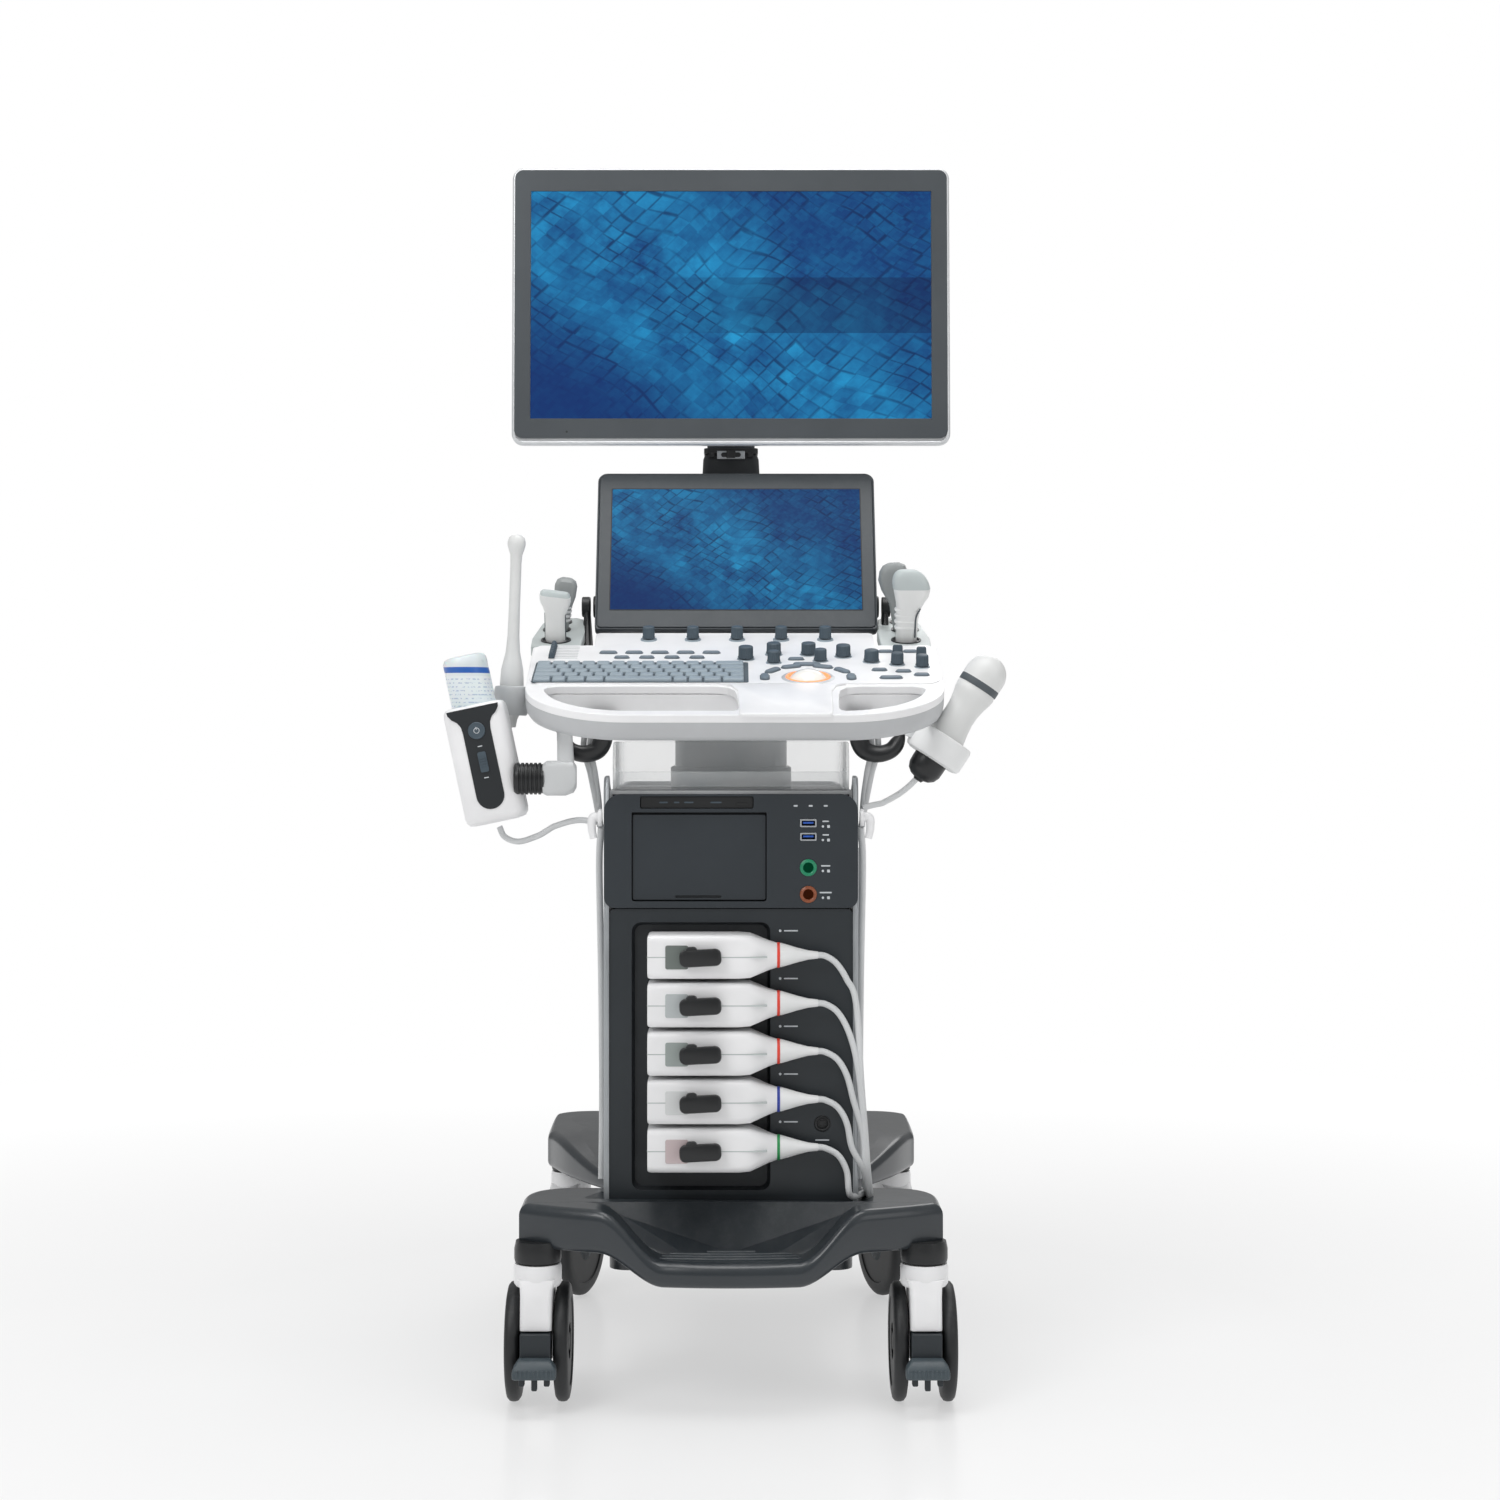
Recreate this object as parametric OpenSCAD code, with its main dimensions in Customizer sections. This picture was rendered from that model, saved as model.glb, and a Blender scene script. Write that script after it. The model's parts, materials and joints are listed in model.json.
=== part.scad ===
// Cart-type diagnostic ultrasound machine.
// Frame: origin on the floor midway between the casters, +X to the operator's right,
// +Y to the rear, +Z up. All lengths are in millimetres.

/* [Base] */
// Diameter of the caster wheels
wheel_d = 125; // [120:1:126]
// Width of one caster tyre
tyre_w = 16; // [12:1:18]
// Half distance between the left and right casters
track_half = 203; // [195:1:210]
// Length of the footrest mat
mat_depth = 78; // [60:1:79]

/* [Cabinet] */
// Half width of the cabinet frame
cab_half = 130; // [126:1:132]
// Height of the cabinet top plate above the floor
cab_top = 645; // [643:1:646]
// Thickness of the cabinet side panels
side_t = 6; // [5:1:8]
// Vertical distance between neighbouring transducer connectors
conn_pitch = 51; // [50:1:52]

/* [Console] */
// Angle of the control panel above the horizontal
panel_tilt = 16; // [15.5:0.5:16.5]
// Radius of the rounded front corners of the console
corner_r = 115; // [110:1:118]
// Thickness of the white console deck
deck_t = 22; // [21:0.5:22]
// Distance between neighbouring keyboard keys
key_pitch = 16.9; // [16:0.1:16.9]
// Radius of the trackball
ball_r = 26; // [25:0.5:26]

/* [Screens] */
// Width of the touch screen panel
touch_w = 330; // [310:1:334]
// Height of the touch screen panel
touch_h = 210; // [204:1:214]
// Width of the main monitor
mon_w = 521; // [500:1:530]
// Height of the main monitor
mon_h = 333; // [318:1:334]
// Backward lean of the main monitor
mon_tilt = 3; // [0:0.5:4]

/* [Accessories] */
// Diameter of the gel bottle
bottle_d = 48; // [40:1:50]
// Radius of the empty probe cup
cup_r = 14; // [10:0.5:15]
// Lean of the gel warmer
warmer_lean = 12; // [10:0.5:13]

/* [Hidden] */
$fn = 32;

// colours
white = [0.95, 0.95, 0.95];
light_grey = [0.78, 0.79, 0.79];
fascia_grey = [0.18, 0.21, 0.24];
base_grey = [0.23, 0.25, 0.27];
knob_grey = [0.30, 0.35, 0.39];
key_grey = [0.64, 0.69, 0.71];
black = [0.08, 0.09, 0.1];

// base: lobes carry the casters, the middle dips to form the footrest
lobe_x = 223;
lobe_low = 167;
lobe_top = 212;
dip_low = 135;
dip_top = 161;
dip_x = 74;
shoulder_x = 128;
front_y = -365;
front_back_y = -199;
front_arc_r = 400;
floor_top = 163;
rear_x = 228;
rear_front_y = 170;
rear_y = 380;
strut_y = 30;
strut_t = 28;
collar_r = 24.75;
collar_low = 151;

// casters, in the frame of one caster with the swivel axis at x = y = 0
trail = 25;
front_pivot_y = -300;
rear_pivot_y = 275;
rear_turn = 160;
fork_half = 16.5;
wheel_gap = 17.5;
axle_r = 6;
run_gap = 0.05;
pedal_y = -4;
pedal_z = 60;
pedal_pin_r = 3;
wheel_r = wheel_d / 2;

// cabinet
cab_front = -247;
cab_back = 247;
fascia_t = 8;
split_z = 520;
sheet = 3;
conn_first_z = 471;
conn_y = -271;
conn_half = 23;
lever_x = -33;

// column
col_half = 72;
col_front = -115;
col_back = 45;
col_low = 400;
col_rise = 680;
col_wall = 6;
slide_gap = 0.5;
console_low = 702;
swivel_y = -35;

// console panel frame: y runs up the slope from the front rim, z is its normal
panel_y = -350;
panel_z = 724.4;
deck_x = 222;
corner_s = corner_r + 4;
deck_back = 292;
strip_x = 160;
strip_back = 356;
// the console sits a little to the right of the column
console_dx = 6;
ball_x = 83.8;
ball_s = 150.6;
ball_sink = 16;
travel = 1.5;

// touch screen
touch_y = -1;
touch_z = 827;
touch_lean = 25;
touch_axis_y = 30;
touch_axis_z = 45;
panel_glass_low = 23;
panel_glass_high = 197;

// monitor and its arm
mon_y = 65;
mon_z = 1214.5;
mon_t = 41;
arm_y = 165;
turret_y = 207;
arm_half = 36;
glass_up = 4;
glass_w = 476.6;
glass_h = 268;
tilt_y = 62;

// accessories hang forward of the cabinet corners so that the console can turn
acc_y = -235;

module rr(w, h, r) {
  square([w - 2 * r, h], center = true);
  square([w, h - 2 * r], center = true);
  for (x = [-1, 1], y = [-1, 1])
    translate([x * (w / 2 - r), y * (h / 2 - r)]) circle(r);
}

module span(x0, x1, y0, y1, z0, z1) {
  translate([x0, y0, z0]) cube([x1 - x0, y1 - y0, z1 - z0]);
}

// a shape drawn in the x-z plane, extruded along y from y0 to y1
module along_y(y0, y1) {
  translate([0, y1, 0]) rotate([90, 0, 0]) linear_extrude(y1 - y0) children();
}

// a shape drawn in the y-z plane, extruded along x from x0 to x1
module along_x(x0, x1) {
  translate([x0, 0, 0]) rotate([90, 0, 90]) linear_extrude(x1 - x0) children();
}

module on_panel() {
  translate([0, panel_y, panel_z]) rotate([panel_tilt, 0, 0]) children();
}

module sides() {
  children();
  mirror([1, 0, 0]) children();
}

// base ------------------------------------------------------------------

module front_profile() {
  polygon([[-lobe_x, lobe_low], [-lobe_x, lobe_top], [-shoulder_x, lobe_top],
           [-dip_x, dip_top], [dip_x, dip_top], [shoulder_x, lobe_top],
           [lobe_x, lobe_top], [lobe_x, lobe_low], [shoulder_x, lobe_low],
           [dip_x, dip_low], [-dip_x, dip_low], [-shoulder_x, lobe_low]]);
}

module base_shell() color(base_grey) {
  difference() {
    union() {
      intersection() {
        along_y(front_y, front_back_y) front_profile();
        linear_extrude(lobe_top + 1) intersection() {
          translate([0, (front_y + front_back_y) / 2])
            rr(2 * lobe_x, front_back_y - front_y, 45);
          translate([0, front_y + front_arc_r]) circle(front_arc_r, $fn = 96);
        }
      }
      translate([0, (rear_front_y + rear_y) / 2, lobe_low])
        linear_extrude(lobe_top - lobe_low) rr(2 * rear_x, rear_y - rear_front_y, 45);
      // struts from the cabinet to the rear lobes
      sides() translate([0, 0, lobe_low]) linear_extrude(strut_t)
        polygon([[140, strut_y], [140, 250], [rear_x - 30, 250], [rear_x - 6, 195]]);
      span(-130, 130, front_back_y - 70, 350, dip_low, floor_top);
      span(-130, 130, 270, 350, floor_top, lobe_low);
    }
    span(-141, 141, -261, 257, floor_top, lobe_top + 5);
  }
  for (x = [-track_half, track_half]) {
    translate([x, front_pivot_y, collar_low]) cylinder(lobe_low - collar_low, r = collar_r);
    translate([x, rear_pivot_y, collar_low]) cylinder(lobe_low - collar_low, r = collar_r);
  }
}

module footrest_mat() color(black) {
  intersection() {
    union() {
      span(-66, 66, -349, -349 + mat_depth, dip_top, dip_top + 1.5);
      for (i = [0:5])
        span(-60, 60, -344 + i * 12, -338 + i * 12, dip_top + 1.5, dip_top + 3);
    }
    translate([0, front_y + front_arc_r, dip_top]) cylinder(5, r = front_arc_r - 8, $fn = 96);
  }
}

module fork() {
  difference() {
    union() {
      translate([0, 0, 130]) cylinder(collar_low - 130.2, r = collar_r + 0.5);
      span(-fork_half, fork_half, -22, 45, 72, 130);
      span(-fork_half, fork_half, 6, 45, 48, 72);
      sides() span(9, fork_half, -14, 6, 52, 72);
    }
    translate([-30, trail, wheel_r]) rotate([0, 90, 0]) cylinder(60, r = axle_r + run_gap);
    translate([-30, pedal_y, pedal_z]) rotate([0, 90, 0]) cylinder(60, r = pedal_pin_r + run_gap);
  }
}

module wheels() {
  translate([-wheel_gap, trail, wheel_r]) rotate([0, 90, 0])
    cylinder(2 * wheel_gap, r = axle_r);
  sides() translate([wheel_gap, trail, wheel_r]) rotate([0, 90, 0]) difference() {
    cylinder(tyre_w, r = wheel_r, $fn = 64);
    translate([0, 0, tyre_w - 3]) cylinder(4, r = wheel_r - 16, $fn = 64);
  }
}

module pedal() {
  span(-8, 8, -41, 3, 52, 66);
  span(-23, 23, -60, -40, 41, 60);
  translate([-fork_half, pedal_y, pedal_z]) rotate([0, 90, 0])
    cylinder(2 * fork_half, r = pedal_pin_r);
}

module at_fl() translate([-track_half, front_pivot_y, 0]) children();
module at_fr() translate([track_half, front_pivot_y, 0]) children();
module at_rl() translate([-track_half, rear_pivot_y, 0]) rotate(rear_turn) children();
module at_rr() translate([track_half, rear_pivot_y, 0]) rotate(-rear_turn) children();

module fork_fl() color(white) at_fl() fork();
module fork_fr() color(white) at_fr() fork();
module fork_rl() color(white) at_rl() fork();
module fork_rr() color(white) at_rr() fork();
module wheels_fl() color(black) at_fl() wheels();
module wheels_fr() color(black) at_fr() wheels();
module wheels_rl() color(black) at_rl() wheels();
module wheels_rr() color(black) at_rr() wheels();
module pedal_fl() color(knob_grey) at_fl() pedal();
module pedal_fr() color(knob_grey) at_fr() pedal();
module pedal_rl() color(knob_grey) at_rl() pedal();
module pedal_rr() color(knob_grey) at_rr() pedal();

// cabinet ---------------------------------------------------------------

module cabinet_frame() color(light_grey) {
  difference() {
    union() {
      difference() {
        span(-cab_half, cab_half, cab_front, cab_back, floor_top, cab_top);
        span(-cab_half + sheet, cab_half - sheet, cab_front - 1, cab_back + 1,
             floor_top + 4, cab_top - 4);
      }
      span(-cab_half, cab_half, cab_front, cab_back, split_z, split_z + sheet);
      span(46, 49, cab_front, -120, split_z, cab_top);
    }
    span(-col_half, col_half, col_front, col_back, col_low, cab_top + 1);
  }
}

module side_panels() color(white) sides()
  along_x(cab_half, cab_half + side_t)
    polygon([[-258, floor_top], [252, floor_top], [252, 640], [-200, 640],
             [-238, 660], [-252, 660], [-258, 654]]);

module rear_panel() color(fascia_grey) {
  difference() {
    span(-cab_half, cab_half, cab_back, cab_back + 5, floor_top, cab_top);
    for (i = [0:8]) span(-60, 60, cab_back - 1, cab_back + 6, 380 + i * 12, 386 + i * 12);
    span(-105, -60, cab_back - 1, cab_back + 6, 190, 220);
  }
  span(-108, -57, cab_back - 8, cab_back, 187, 223);
  translate([0, cab_back, 430]) rotate([90, 0, 0]) cylinder(42, r = 3);
  sides() span(62, 70, cab_back - 40, cab_back, 426, 434);
}

module fan_rotor() color(black) translate([0, 208, 430]) rotate([-90, 0, 0]) {
  difference() {
    cylinder(24, r = 18);
    translate([0, 0, -1]) cylinder(26, r = 3 + run_gap);
  }
  for (a = [0:60:300]) rotate(a)
    translate([17, -2, 3]) rotate([25, 0, 0]) cube([37, 3, 16]);
}

module upper_fascia() color(fascia_grey) difference() {
  span(-cab_half, cab_half, cab_front - fascia_t, cab_front, split_z, 641.5);
  span(-106, 38, -260, -240, 527, 621);
  span(-97, 24, -260, -240, 626, 639);
  for (z = [610.5, 596]) span(74.5, 90.5, -260, -240, z - 3.5, z + 3.5);
  for (z = [563, 534.5]) translate([82.5, -240, z]) rotate([90, 0, 0]) cylinder(30, r = 9);
}

module lower_fascia() color(fascia_grey) {
  difference() {
    span(-cab_half, cab_half, cab_front - fascia_t, cab_front, floor_top, split_z);
    span(-106, 42, -260, -240, 218, 505);
    translate([97.5, -240, 289.5]) rotate([90, 0, 0]) cylinder(30, r = 8.5);
  }
  difference() {
    span(-109, 45, cab_front, -237, 215, 508);
    span(-106, 42, -248, -240, 218, 505);
  }
}

module io_ports() color(black) {
  for (z = [610.5, 596]) difference() {
    span(75, 90, -256, -244, z - 3.4, z + 3.4);
    span(76.5, 88.5, -257, -250, z - 2, z + 2);
  }
  for (z = [563, 534.5]) translate([82.5, -244, z]) rotate([90, 0, 0]) port(8.9);
  translate([97.5, -244, 289.5]) rotate([90, 0, 0]) port(8.4);
}

module port(r) difference() {
  cylinder(12, r = r);
  translate([0, 0, 6]) cylinder(8, r = r - 3);
}

module connector_body() {
  translate([-88, 0, 0]) rotate([90, 0, 90])
    linear_extrude(109) rr(60, 2 * conn_half, 8);
  translate([21, 0, 0]) rotate([0, 90, 0]) cylinder(28, r1 = conn_half - 1, r2 = 13);
  translate([49, 0, 0]) rotate([0, 90, 0]) cylinder(4, r = 13.2);
  translate([53, 0, 0]) rotate([0, 90, 0]) cylinder(39, r1 = 12, r2 = 3.6);
}

module connector_bodies() color(white) for (i = [0:4])
  translate([0, conn_y, conn_first_z - i * conn_pitch]) connector_body();

module lever(i) color(black)
  translate([lever_x, conn_y - 30, conn_first_z - i * conn_pitch]) rotate([90, -3, 0]) {
    cylinder(6, r = 11);
    translate([0, 0, 6]) linear_extrude(9) rr(46, 17, 6);
  }

module lever_1() lever(0);
module lever_2() lever(1);
module lever_3() lever(2);
module lever_4() lever(3);
module lever_5() lever(4);

module bay_door() color(fascia_grey) difference() {
  span(-105.5, 37.5, -255, -251, 527.5, 620.5);
  span(-62, -8, -256, -253, 533, 536);
}

module disc_tray() color(black) {
  span(-96.5, 23.5, -255, -250, 626.5, 638.5);
  span(-90, 18, -250, -125, 628, 637);
}

module power_supply() color(light_grey) span(-100, 100, 100, 235, floor_top + 4, 330);

module engine_boards() color([0.1, 0.35, 0.2]) {
  for (i = [-2:2]) span(i * 40 - 1, i * 40 + 1, -160, 80, 170, 380);
  span(-100, 100, -166, -160, 170, 385);
}

module tray_clear() color([0.85, 0.9, 0.92, 0.4]) difference() {
  translate([0, -174, cab_top]) linear_extrude(53) rr(256, 112, 14);
  translate([0, -174, cab_top + 3]) linear_extrude(60) rr(250, 106, 11);
  span(-108, 108, -240, -200, cab_top + 20, 720);
}

module column_outer() color(light_grey) difference() {
  span(-col_half, col_half, col_front, col_back, col_low, col_rise);
  span(-col_half + col_wall, col_half - col_wall, col_front + col_wall,
       col_back - col_wall, col_low + 5, col_rise + 1);
}

// connector cables: a quarter turn to the right and then straight down
module cable(i) {
  z = conn_first_z - i * conn_pitch;
  r = 78 - 7.5 * i;
  translate([92, conn_y, z - r]) rotate([90, 0, 0]) rotate_extrude(angle = 90)
    translate([r, 0]) circle(3.3, $fn = 16);
  translate([92 + r, conn_y, 213]) cylinder(z - r - 213, r = 3.3, $fn = 16);
}

module cables_lower() color(light_grey) {
  for (i = [0:4]) cable(i);
  // cable hooks and the ends of the cables that enter the cabinet side
  sides() {
    translate([cab_half + side_t, acc_y, 615]) rotate([0, 90, 0]) cylinder(8, r = 5);
    span(cab_half + side_t, cab_half + side_t + 14, -250, -246, 596, 622);
  }
}

// column and console ----------------------------------------------------

module column_inner() color(white) {
  g = col_wall + slide_gap;
  span(-col_half + g, col_half - g, col_front + g, col_back - g, col_low + 20, console_low - 8);
  translate([0, swivel_y, console_low - 8]) cylinder(8, r = 62, $fn = 64);
}

module deck_outline(inset) translate([console_dx, 0]) {
  for (x = [-1, 1]) translate([x * (deck_x - corner_r), corner_s])
    circle(corner_r - inset, $fn = 64);
  translate([-deck_x + corner_r, 4 + inset])
    square([2 * (deck_x - corner_r), 2 * corner_r]);
  translate([-deck_x + inset, corner_s]) square([2 * (deck_x - inset), deck_back - corner_s]);
}

// stadium-shaped button centred at p, w long and d deep
module oval(x, s, w, d, grow) translate([x, s]) {
  square([w - d, d + 2 * grow], center = true);
  for (k = [-1, 1]) translate([k * (w - d) / 2, 0]) circle(d / 2 + grow);
}

module buttons_2d(grow) {
  for (i = [0:4]) oval(-138 + i * 29, 257, 19, 7, grow);
  for (i = [0:3]) oval(-122 + i * 28, 235, 16, 7, grow);
  for (x = [174, 202]) oval(x, 262, 16, 7, grow);
  oval(72.6, 228, 17, 7, grow);
  oval(163, 181, 16, 7, grow);
  oval(189, 175, 16, 7, grow);
  oval(208, 160, 16, 7, grow);
  oval(174, 148, 24, 8, grow);
  for (a = [0, 36, 68, 112, 144, 180]) rotate_about(ball_x, ball_s, a)
    translate([ball_x + 47, ball_s]) rotate(90) oval(0, 0, 22, 9, grow);
  oval(ball_x, ball_s + 54, 30, 9, grow);
}

module rotate_about(x, y, a) translate([x, y]) rotate(a) translate([-x, -y]) children();

// position and radius of the rotary knobs on the panel: [x, s, r]
knob_list = [[48, 250, 8.2], [87, 250, 8.2], [125.6, 241, 8.2], [156, 218, 8.2],
             [47.4, 214, 7], [99.5, 222, 7], [184, 206, 7], [211, 196, 7],
             [186, 234, 5.8], [212, 226, 5.8]];
gain = [16.5, 230, 8.2];
menu_s = 322;
menu_pitch = 50.7;
menu_x = 6.9;

module knob_stems() {
  for (k = knob_list) translate([k[0], k[1]]) circle(3 + run_gap);
  for (i = [-2:2]) translate([menu_x + i * menu_pitch, menu_s]) circle(3 + run_gap);
  translate([gain[0], gain[1]]) circle(3 + run_gap);
}

module tgc_2d(x0, x1, half) for (i = [0:7])
  translate([x0, 234 + i * 7.2 - half]) square([x1 - x0, 2 * half]);

module console_top() color(white) on_panel() {
  difference() {
    union() {
      translate([0, 0, -deck_t]) linear_extrude(deck_t) deck_outline(0);
      span(console_dx - strip_x, console_dx + strip_x, deck_back - 1, strip_back, -deck_t, 0);
    }
    // hand openings behind the front rim
    translate([0, 0, -deck_t - 1]) linear_extrude(deck_t + 2) intersection() {
      deck_outline(22);
      union() {
        translate([-deck_x, 20]) square([deck_x + 8, 96]);
        translate([110, 20]) square([deck_x, 96]);
      }
    }
    // keyboard well, button wells, slider slots, trackball seat, knob holes
    span(-215, 17, 129, 215, -4, 1);
    translate([0, 0, -5]) linear_extrude(6) buttons_2d(0.4);
    translate([0, 0, -6]) linear_extrude(7) tgc_2d(-203, -171, 1.3);
    translate([0, 0, -8]) linear_extrude(9) knob_stems();
    translate([ball_x, ball_s, -deck_t - 1]) cylinder(deck_t + 2, r = 22.6);
    translate([ball_x, ball_s, -deck_t - 1]) cylinder(deck_t - 2, r = ball_r + 0.6);
  }
}

module console_shell() color(light_grey) {
  difference() {
    union() {
      on_panel() {
        along_x(-200, 200) polygon([[122, -deck_t], [288, -deck_t], [288, -62], [122, -44]]);
        along_x(-150, 150) polygon([[124, -deck_t], [350, -deck_t], [350, -70], [124, -50]]);
      }
      intersection() {
        span(-130, 130, -228, -16, console_low, 800);
        on_panel() span(-200, 200, 100, 350, -130, -deck_t);
      }
      span(-70, 70, -12, 255, 752, 798);
      translate([0, turret_y, 790]) cylinder(50, r = 42);
    }
    on_panel() translate([ball_x, ball_s, -60]) cylinder(60 - deck_t + 1, r = ball_r + 1);
  }
  // posts of the touch screen hinge
  translate([console_dx, 0, 0]) sides() {
    span(172, 177.5, 20, 50, 790, 868);
    span(140, 177.5, -10, 50, 778, 790);
  }
}

module keys() color(key_grey) on_panel() translate([0, 0, -2]) {
  for (r = [1:4], c = [0:12])
    translate([-212 + c * key_pitch + (r % 2) * 4, 131 + r * 16.6, 0])
      cube([key_pitch - 2.2, 14.2, 5.5]);
  for (c = [0:3]) translate([-212 + c * key_pitch, 131, 0]) cube([key_pitch - 2.2, 14.2, 5.5]);
  translate([-212 + 4 * key_pitch, 131, 0]) cube([5 * key_pitch - 2.2, 14.2, 5.5]);
  for (c = [9:12]) translate([-212 + c * key_pitch, 131, 0]) cube([key_pitch - 2.2, 14.2, 5.5]);
}

module buttons() color(key_grey) on_panel()
  translate([0, 0, -3]) linear_extrude(6) buttons_2d(0);

module tgc_sliders() color(knob_grey) on_panel() {
  translate([0, 0, -4]) linear_extrude(5) tgc_2d(-202, -198, 1);
  translate([0, 0, 1]) linear_extrude(6) tgc_2d(-204, -197, 2.4);
}

module trackball() color(white) on_panel()
  translate([ball_x, ball_s, -ball_sink]) sphere(ball_r, $fn = 48);

module knob(r, h) {
  translate([0, 0, 2]) cylinder(h, r = r);
  translate([0, 0, -5]) cylinder(8, r = 3);
}

module knobs() color(knob_grey) on_panel() {
  for (k = knob_list) translate([k[0], k[1], 0]) knob(k[2], 13);
  for (i = [-2:2]) translate([menu_x + i * menu_pitch, menu_s, 0]) knob(6.8, 14);
}

module knob_gain() color(knob_grey) on_panel() translate([gain[0], gain[1], 0])
  knob(gain[2], 14);

// accessories -----------------------------------------------------------

// both probe holder plates continue the slope of the panel behind its corners
holder_s0 = 292;
holder_s1 = 425;
holder_x0 = 184;
front_hole = [196, 318];
rear_hole = [203, 370];
cup_pos = [203, 405];

module holder_plate() difference() {
  span(holder_x0, 226, holder_s0, holder_s1, -12, 0);
  translate([front_hole[0] + 5, front_hole[1], -13]) cylinder(14, r = 16);
  translate([rear_hole[0], rear_hole[1], -13]) cylinder(14, r = 15);
  translate([cup_pos[0], cup_pos[1], -13]) cylinder(14, r = cup_r);
}

module on_warmer() translate([-263, acc_y, 674]) rotate([0, -warmer_lean, 0]) children();
module on_cup() translate([222.6, acc_y, 690]) rotate([0, 33, 0]) children();
module on_cavity() translate([-241, -180, 742]) rotate([0, 2, 0]) children();

module probe_holders() color(light_grey) {
  on_panel() sides() holder_plate();
  on_panel() sides() span(188, 214, holder_s0, 300, -deck_t, -12);
  // ring for the slim cavity probe at the left front corner
  difference() {
    union() {
      on_cavity() translate([0, 0, -16]) cylinder(32, r = 18);
      span(-228, -200, -188, -172, 730, 746);
    }
    on_cavity() translate([0, 0, -17]) cylinder(34, r = 14);
  }
  difference() {
    union() {
      // arm that carries the gel warmer
      span(-213, -165, -274, -246, 640, 676);
      span(-185, -169, -270, -248, 676, 738);
      // tilted cup at the right
      on_cup() translate([0, 0, -14]) cylinder(30, r = 33);
      span(198, 214, -250, -228, 690, 738);
    }
    on_cup() translate([0, 0, -9]) cylinder(50, r = 27);
    on_cup() translate([0, 0, -16]) cylinder(30, r = 12);
    under_deck();
  }
}

// the space taken by the console deck, cut away so that brackets end on its underside
module under_deck() on_panel() span(-240, 240, -20, 290, -deck_t, 40);

module warmer_housing() color(white) {
  on_warmer() difference() {
    translate([0, 0, -64]) linear_extrude(128) rr(66, 62, 9);
    translate([0, 0, -40]) cylinder(120, r = bottle_d / 2 + 1.5);
  }
  span(-226, -213, -268, -250, 642, 674);
}

module gel_bottle() color([0.75, 0.85, 0.95]) on_warmer() {
  translate([0, 0, -38]) cylinder(150, r = bottle_d / 2);
  translate([0, 0, 112]) cylinder(6, r1 = bottle_d / 2, r2 = bottle_d / 2 - 5);
}

module hooks() color(black) difference() {
  sides() {
    span(130, 146, -243, -227, 686, 745);
    span(130, 186, -243, -227, 676, 690);
    span(172, 186, -243, -227, 690, 706);
  }
  under_deck();
}

module cables_upper() color(light_grey) {
  sides() for (x = [146, 155]) translate([x, -222, 668]) cylinder(47, r = 3.3);
  on_cup() translate([0, 0, -40]) cylinder(26, r1 = 5, r2 = 11);
  on_warmer() translate([10, 0, -72]) cylinder(8, r = 4);
}

module probes_left() color(light_grey) on_panel() {
  translate([-front_hole[0] - 5, front_hole[1], -30]) {
    cylinder(62, r1 = 9, r2 = 12);
    span(-16, 16, -9, 9, 62, 84);
  }
  translate([-rear_hole[0], rear_hole[1], -30]) {
    cylinder(70, r1 = 9, r2 = 11);
    span(-13, 13, -9, 9, 70, 86);
  }
}

module probes_right() color(white) on_panel() {
  translate([front_hole[0] + 5, front_hole[1], -30]) {
    cylinder(72, r1 = 9, r2 = 13);
    translate([0, 10, 88]) rotate([90, 0, 0]) cylinder(20, r = 22);
  }
  translate([rear_hole[0], rear_hole[1], -30]) {
    cylinder(80, r1 = 9, r2 = 12);
    span(-14, 14, -9, 9, 80, 110);
  }
}

module probe_cavity() color(white) on_cavity() {
  translate([0, 0, -30]) cylinder(58, r1 = 7, r2 = 13);
  translate([0, 0, 28]) cylinder(22, r1 = 13, r2 = 7);
  translate([0, 0, 50]) cylinder(121, r1 = 7, r2 = 6);
  translate([0, 0, 172]) sphere(10);
}

module probe_volume() color(white) on_cup() {
  translate([0, 0, -8]) cylinder(50, r1 = 19, r2 = 16);
  translate([0, 0, 42]) cylinder(30, r1 = 16, r2 = 22);
  translate([0, 0, 72]) cylinder(22, r = 22.5);
  translate([0, 0, 94]) sphere(22.5);
}

// screens ---------------------------------------------------------------

module on_touch() translate([console_dx, touch_y, touch_z]) rotate([-touch_lean, 0, 0]) children();

module touch_panel() color(knob_grey) on_touch() {
  difference() {
    along_y(0, 20) translate([0, touch_h / 2]) rr(touch_w, touch_h, 9);
    span(-150, 150, -1, 4, panel_glass_low, panel_glass_high);
  }
  // hinge discs and pins at both sides
  sides() translate([100, touch_axis_y, touch_axis_z]) rotate([0, 90, 0]) {
    cylinder(66, r = 8);
    translate([0, 0, 66]) cylinder(5.5, r = 7);
  }
  sides() span(100, 120, 18, 30, touch_axis_z - 8, touch_axis_z + 8);
}

module touch_glass() color(black) on_touch()
  span(-150, 150, 0.5, 4, panel_glass_low, panel_glass_high);

module arm_lower() color(black) {
  translate([0, turret_y, 840]) cylinder(22, r = 40);
  span(-arm_half, arm_half, arm_y - 18, turret_y, 850, 878);
  difference() {
    span(-arm_half, arm_half, arm_y - 18, arm_y + 18, 862, 1046);
    span(-arm_half + 6, arm_half - 6, arm_y - 12, arm_y + 12, 880, 1050);
  }
}

module arm_upper() color(base_grey) {
  span(-arm_half + 6.5, arm_half - 6.5, arm_y - 11.5, arm_y + 11.5, 900, 1046.5);
  span(-30, 30, arm_y - 11.5, arm_y + 11.5, 1046.5, 1190);
  translate([0, arm_y, 1190]) cylinder(10, r = 26);
}

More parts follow.
